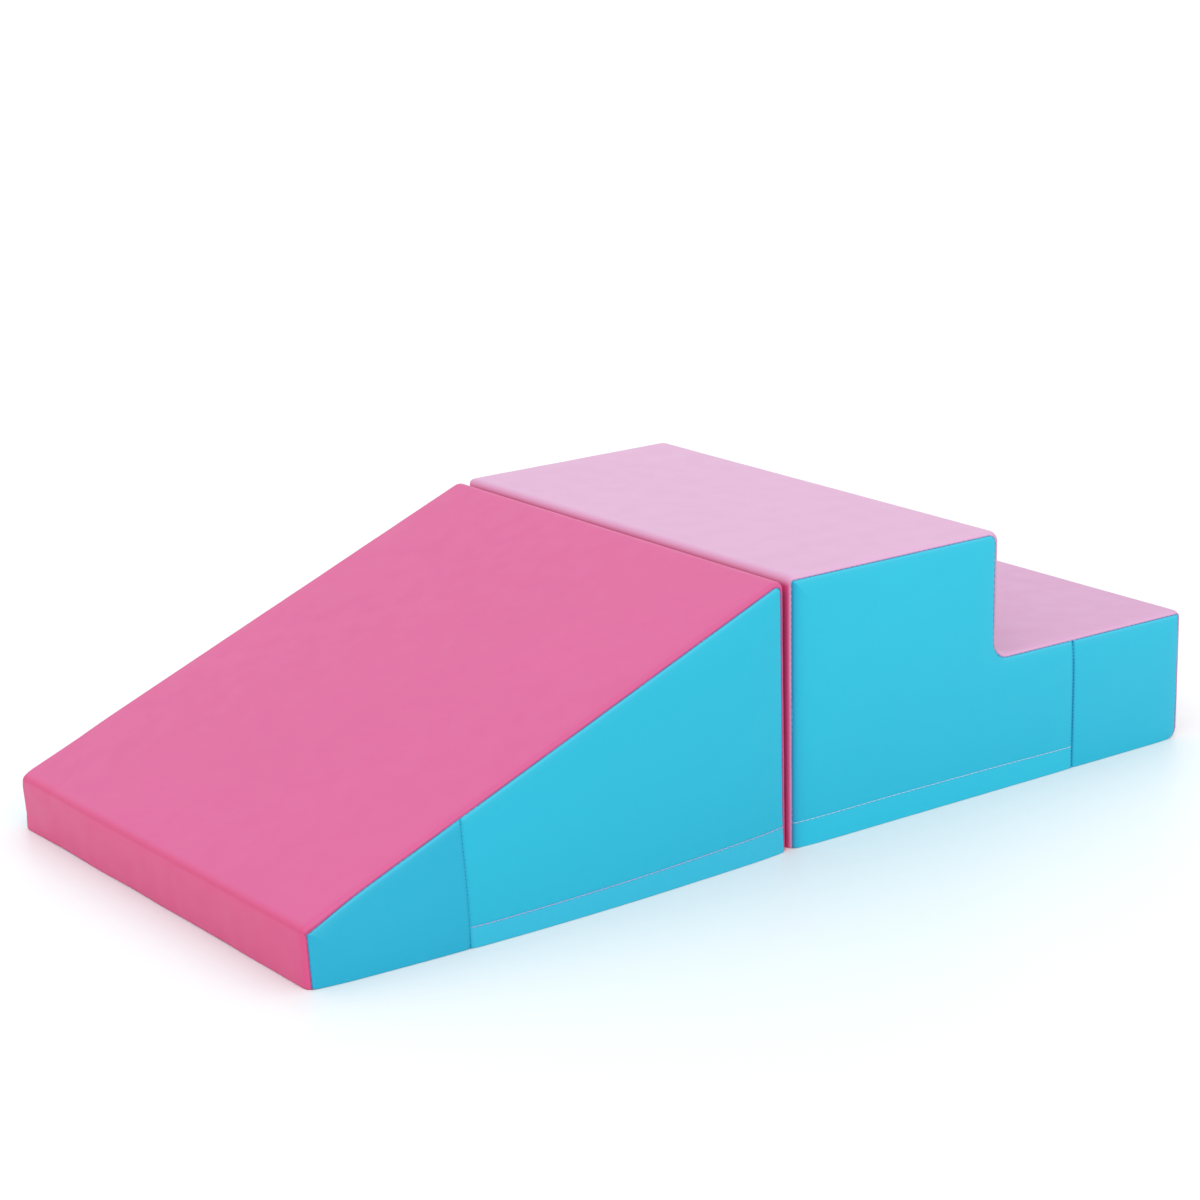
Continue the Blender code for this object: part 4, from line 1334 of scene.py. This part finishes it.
def vinyl(name, colour, rim_light_colour, seam_shade_colour, low_lighting_tones=(), second_colour=None):
    """Soft coated vinyl: a fine pebbled grain, faint broad colour shifts, and painted shade in seams.

    The rim colour is painted light beside the seams: a painted highlight, but painted shade on the
    slide's pink. The second colour is a painted highlight on a hem, and on a joint face a dark pink
    that turns to painted shade over its edge. Each low tone is painted light and shade by height: the
    height where it starts, the one below which it is full, and its colour.
    """
    nodes = new_material(name)
    mottle = nodes.ranged(nodes.noise(MOTTLE_SCALE), 0.3, 0.7)
    tinted = nodes.mixed(mottle, colour, darker(colour, 0.98))
    # Painted light and shade by height: a darker tread, a darker foot and the toe face's own lighting
    for start, full, tone in low_lighting_tones:
        tinted = nodes.mixed(nodes.ranged(nodes.height(), start, full), tinted, tone)
    # Second tone: a painted highlight on a hem, and a dark pink joint face that turns to painted shade
    # over its edge
    if second_colour is not None:
        tinted = nodes.mixed(nodes.marked("second_tone"), tinted, second_colour)
    # Painted light beside the seams
    tinted = nodes.mixed(nodes.marked("seam_glow"), tinted, rim_light_colour)
    # Painted shade in the seams
    shade = nodes.marked("seam_shade")
    depth = nodes.ranged(shade, to_high=SEAM_DARKNESS)
    patches = nodes.noise(SHEEN_PATCH_SCALE, detail=3.0)
    roughness = nodes.ranged(patches, 0.3, 0.7, to_low=0.40, to_high=0.48)
    pebbled = nodes.bumped(nodes.cells(PEBBLE_SCALE), PEBBLE_DEPTH, strength=0.35)
    creases = nodes.cells(CREASE_SCALE, "DISTANCE_TO_EDGE")
    return nodes.shaded(
        {
            "Base Color": nodes.mixed(depth, tinted, seam_shade_colour),
            "Roughness": nodes.added(roughness, nodes.ranged(shade, to_high=SEAM_ROUGHENING)),
            "Specular IOR Level": 0.45,
            "Normal": nodes.bumped(creases, CREASE_DEPTH, strength=0.30, onto=pebbled),
        }
    )


def thread(name, colour):
    """Twisted sewing thread."""
    nodes = new_material(name)
    fibres = nodes.noise(FIBRE_SCALE, detail=3.0)
    return nodes.shaded(
        {
            "Base Color": nodes.mixed(nodes.ranged(fibres, 0.3, 0.7), colour, darker(colour, 0.8)),
            "Roughness": 0.6,
            "Specular IOR Level": 0.12,
            "Normal": nodes.bumped(fibres, FIBRE_DEPTH, strength=0.5),
        }
    )


def woven(name, colour, ribs_per_metre):
    """Cloth with a visible weave of crossing ribs."""
    nodes = new_material(name)
    inputs = {"Vector": nodes.place, "Scale": ribs_per_metre / 3, "Distortion": 0.4}
    ribs = []
    for axis in "XYZ":
        wave = nodes.add("ShaderNodeTexWave", inputs)
        wave.bands_direction = axis
        ribs.append(wave.outputs["Fac"])
    weave = nodes.added(nodes.added(ribs[0], ribs[1]), ribs[2])
    shade = nodes.ranged(weave, 0.5, 2.5, to_low=1, to_high=0)
    return nodes.shaded(
        {
            "Base Color": nodes.mixed(shade, colour, darker(colour, 0.55)),
            "Roughness": 0.85,
            "Sheen Weight": 0.15,
            "Normal": nodes.bumped(weave, RIB_DEPTH, strength=0.5),
        }
    )


def closed_cell_foam():
    """Pale foam with fine bubbles cut open at its faces."""
    nodes = new_material("closed_cell_foam")
    bubbles = nodes.cells(BUBBLE_SCALE)
    shade = nodes.ranged(bubbles, 0.1, 0.7)
    return nodes.shaded(
        {
            "Base Color": nodes.mixed(shade, (0.86, 0.86, 0.84), (0.74, 0.74, 0.72)),
            "Roughness": 0.85,
            "Normal": nodes.bumped(bubbles, BUBBLE_DEPTH, strength=0.6),
        }
    )


def scuffed(name, colour, roughness, metallic=0.0):
    """A smooth hard finish with faint rubbing."""
    nodes = new_material(name)
    scuffs = nodes.noise(SCUFF_SCALE, detail=4.0)
    least, most = roughness - SCUFF_ROUGHENING, roughness + SCUFF_ROUGHENING
    return nodes.shaded(
        {
            "Base Color": nodes.mixed(nodes.ranged(scuffs, 0.35, 0.65), colour, darker(colour, 0.8)),
            "Roughness": nodes.ranged(scuffs, 0.3, 0.7, least, most),
            "Metallic": metallic,
            "Normal": nodes.bumped(scuffs, SCUFF_DEPTH, strength=0.3),
        }
    )


def studio_paper():
    """A pale floor with a faint soft gloss."""
    nodes = new_material("studio_paper")
    tone = nodes.mixed(nodes.noise(PAPER_SCALE, detail=4.0), FLOOR_TONE, darker(FLOOR_TONE, 0.98))
    return nodes.shaded({"Base Color": tone, "Roughness": 0.45})


def add_camera():
    camera = linked("photo_camera", bpy.data.cameras.new("photo_camera"))
    camera.data.sensor_width = CAMERA_SENSOR
    camera.data.lens = CAMERA_LENS
    turn = Matrix.Rotation(CAMERA_YAW, 4, "Z") @ Matrix.Rotation(math.pi / 2 - CAMERA_PITCH, 4, "X")
    camera.matrix_world = Matrix.Translation(CAMERA_PLACE) @ turn @ Matrix.Rotation(CAMERA_ROLL, 4, "Z")
    bpy.context.scene.camera = camera


def add_sky():
    """Even white light that is a little stronger from above."""
    world = bpy.data.worlds.new("white_studio")
    nodes = Nodes(world, "Generated")
    strength = nodes.ranged(nodes.height(), *ZENITH_LIGHT_SPAN, HORIZON_LIGHT, ZENITH_LIGHT)
    nodes.fill(nodes.tree.nodes["Background"], {"Color": WHITE, "Strength": strength})
    bpy.context.scene.world = world
    bpy.context.scene.view_settings.view_transform = "Standard"


def add_key_light():
    """A broad soft light from the front right."""
    data = bpy.data.lights.new("key_light", "SUN")
    data.energy = KEY_STRENGTH
    data.angle = KEY_ANGLE
    key = linked("key_light", data)
    key.rotation_euler = (-Vector(KEY_DIRECTION)).to_track_quat("-Z", "Y").to_euler()


def add_floor():
    corners = [(FLOOR_REACH * x, FLOOR_REACH * y, 0) for x, y in ((-1, -1), (1, -1), (1, 1), (-1, 1))]
    mesh_piece("studio_floor", corners, [(0, 1, 2, 3)], studio_paper())


def dress(block, strip_node, outer_name, strip_kind, strip_colour, finishes):
    """All the sewn pieces of one block, and the fastening strips on its joint face."""
    strip_finish, cyan, outer_cyan, hem_thread, upright_thread, seam_thread = finishes
    add_strip(block, strip_finish, strip_node)
    for side in SIDES:
        sided = block.at_side(side)
        add_side(sided, side, "side", ("side_panel", "hem_flap"), cyan)
        add_side(sided, side, outer_name, (f"{outer_name}_panel",), outer_cyan)
        add_seam_stitches(sided, side, seam_thread)
        add_upright_stitches(sided, side, upright_thread)
        add_hem_stitches(sided, side, hem_thread)
    add_joint_stitches(block, hem_thread)
    weave = woven(f"{strip_kind}_tape_weave", strip_colour, ribs_per_metre=1600)
    for word, height in STRIP_HEIGHTS.items():
        add_fastening_strip(block, strip_kind, word, height, weave, hem_thread)


def dress_ramp(seam_thread):
    strip = vinyl(
        "dark_pink_grain",
        colour=(0.505, 0.069, 0.218),
        # Painted shade: the slope's pink is darker beside its seams
        rim_light_colour=(0.490, 0.062, 0.200),
        seam_shade_colour=(0.22, 0.02, 0.10),
        # Painted light on the toe: painted shade along its ridge, and its face lit otherwise than the
        # slope
        low_lighting_tones=((0.0560, 0.0518, (0.525, 0.047, 0.161)), (0.0505, 0.0480, DEEP_PINK)),
    )
    side = vinyl(
        "ramp_cyan_grain",
        colour=(0.001, 0.425, 0.590),
        rim_light_colour=CYAN_RIM_HIGHLIGHT,
        seam_shade_colour=SEAM_SHADE_BLUE,
        # Painted shade darkening towards the floor, and a painted highlight on the hem
        low_lighting_tones=((0.22, 0.03, (0.001, 0.385, 0.550)),),
        second_colour=(0.014, 0.405, 0.580),
    )
    # Painted shade: the toe panel's cyan is darker, low by the floor
    toe = vinyl("toe_cyan_grain", (0.001, 0.350, 0.530), rim_light_colour=CYAN_RIM_HIGHLIGHT, seam_shade_colour=SEAM_SHADE_BLUE)
    hem_thread = thread("lavender_thread", (0.42, 0.40, 0.62))
    upright_thread = thread("teal_thread", (0.0, 0.32, 0.49))
    finishes = (strip, side, toe, hem_thread, upright_thread, seam_thread)
    dress(RAMP, "slide_cover", "toe", "hook", (0.48, 0.10, 0.25), finishes)


def dress_steps(seam_thread):
    strip = vinyl(
        "light_pink_grain",
        colour=(0.52, 0.290, 0.455),
        # Painted highlight beside the top and tread seams
        rim_light_colour=(0.60, 0.350, 0.530),
        seam_shade_colour=(0.30, 0.16, 0.30),
        # Painted shade on the tread, below the riser
        low_lighting_tones=((0.150, 0.138, (0.475, 0.240, 0.405)),),
        # A dark pink joint face that turns to painted shade over its top edge
        second_colour=DEEP_PINK,
    )
    side = vinyl(
        "steps_cyan_grain",
        colour=(0.002, 0.450, 0.615),
        rim_light_colour=CYAN_RIM_HIGHLIGHT,
        seam_shade_colour=SEAM_SHADE_BLUE,
        # Painted shade darkening towards the floor, and a painted highlight on the hem
        low_lighting_tones=((0.22, 0.03, (0.001, 0.400, 0.570)),),
        second_colour=(0.004, 0.435, 0.605),
    )
    hem_thread = thread("pale_thread", (0.42, 0.58, 0.74))
    upright_thread = thread("blue_thread", (0.0, 0.18, 0.38))
    finishes = (strip, side, side, hem_thread, upright_thread, seam_thread)
    dress(STEPS, "tread_cover", "end", "loop", (0.62, 0.32, 0.52), finishes)


def main():
    add_camera()
    add_sky()
    add_key_light()
    add_floor()
    seam_thread = thread("seam_thread", (0.12, 0.22, 0.48))
    dress_ramp(seam_thread)
    dress_steps(seam_thread)
    tape = woven("zip_tape_weave", (0.05, 0.38, 0.55), ribs_per_metre=2400)
    coil = scuffed("zip_coil_nylon", (0.06, 0.42, 0.60), roughness=0.4)
    slider = scuffed("slider_enamel", (0.55, 0.56, 0.58), roughness=0.35, metallic=0.9)
    foam = closed_cell_foam()
    grip = woven("grip_weave", (0.10, 0.10, 0.11), ribs_per_metre=1800)
    dot = scuffed("grip_rubber", (0.04, 0.04, 0.045), roughness=0.7)
    for block in (RAMP, STEPS):
        add_zip(block, tape, coil, slider)
        add_planks(block, foam)
        add_base(block, grip, dot)


main()
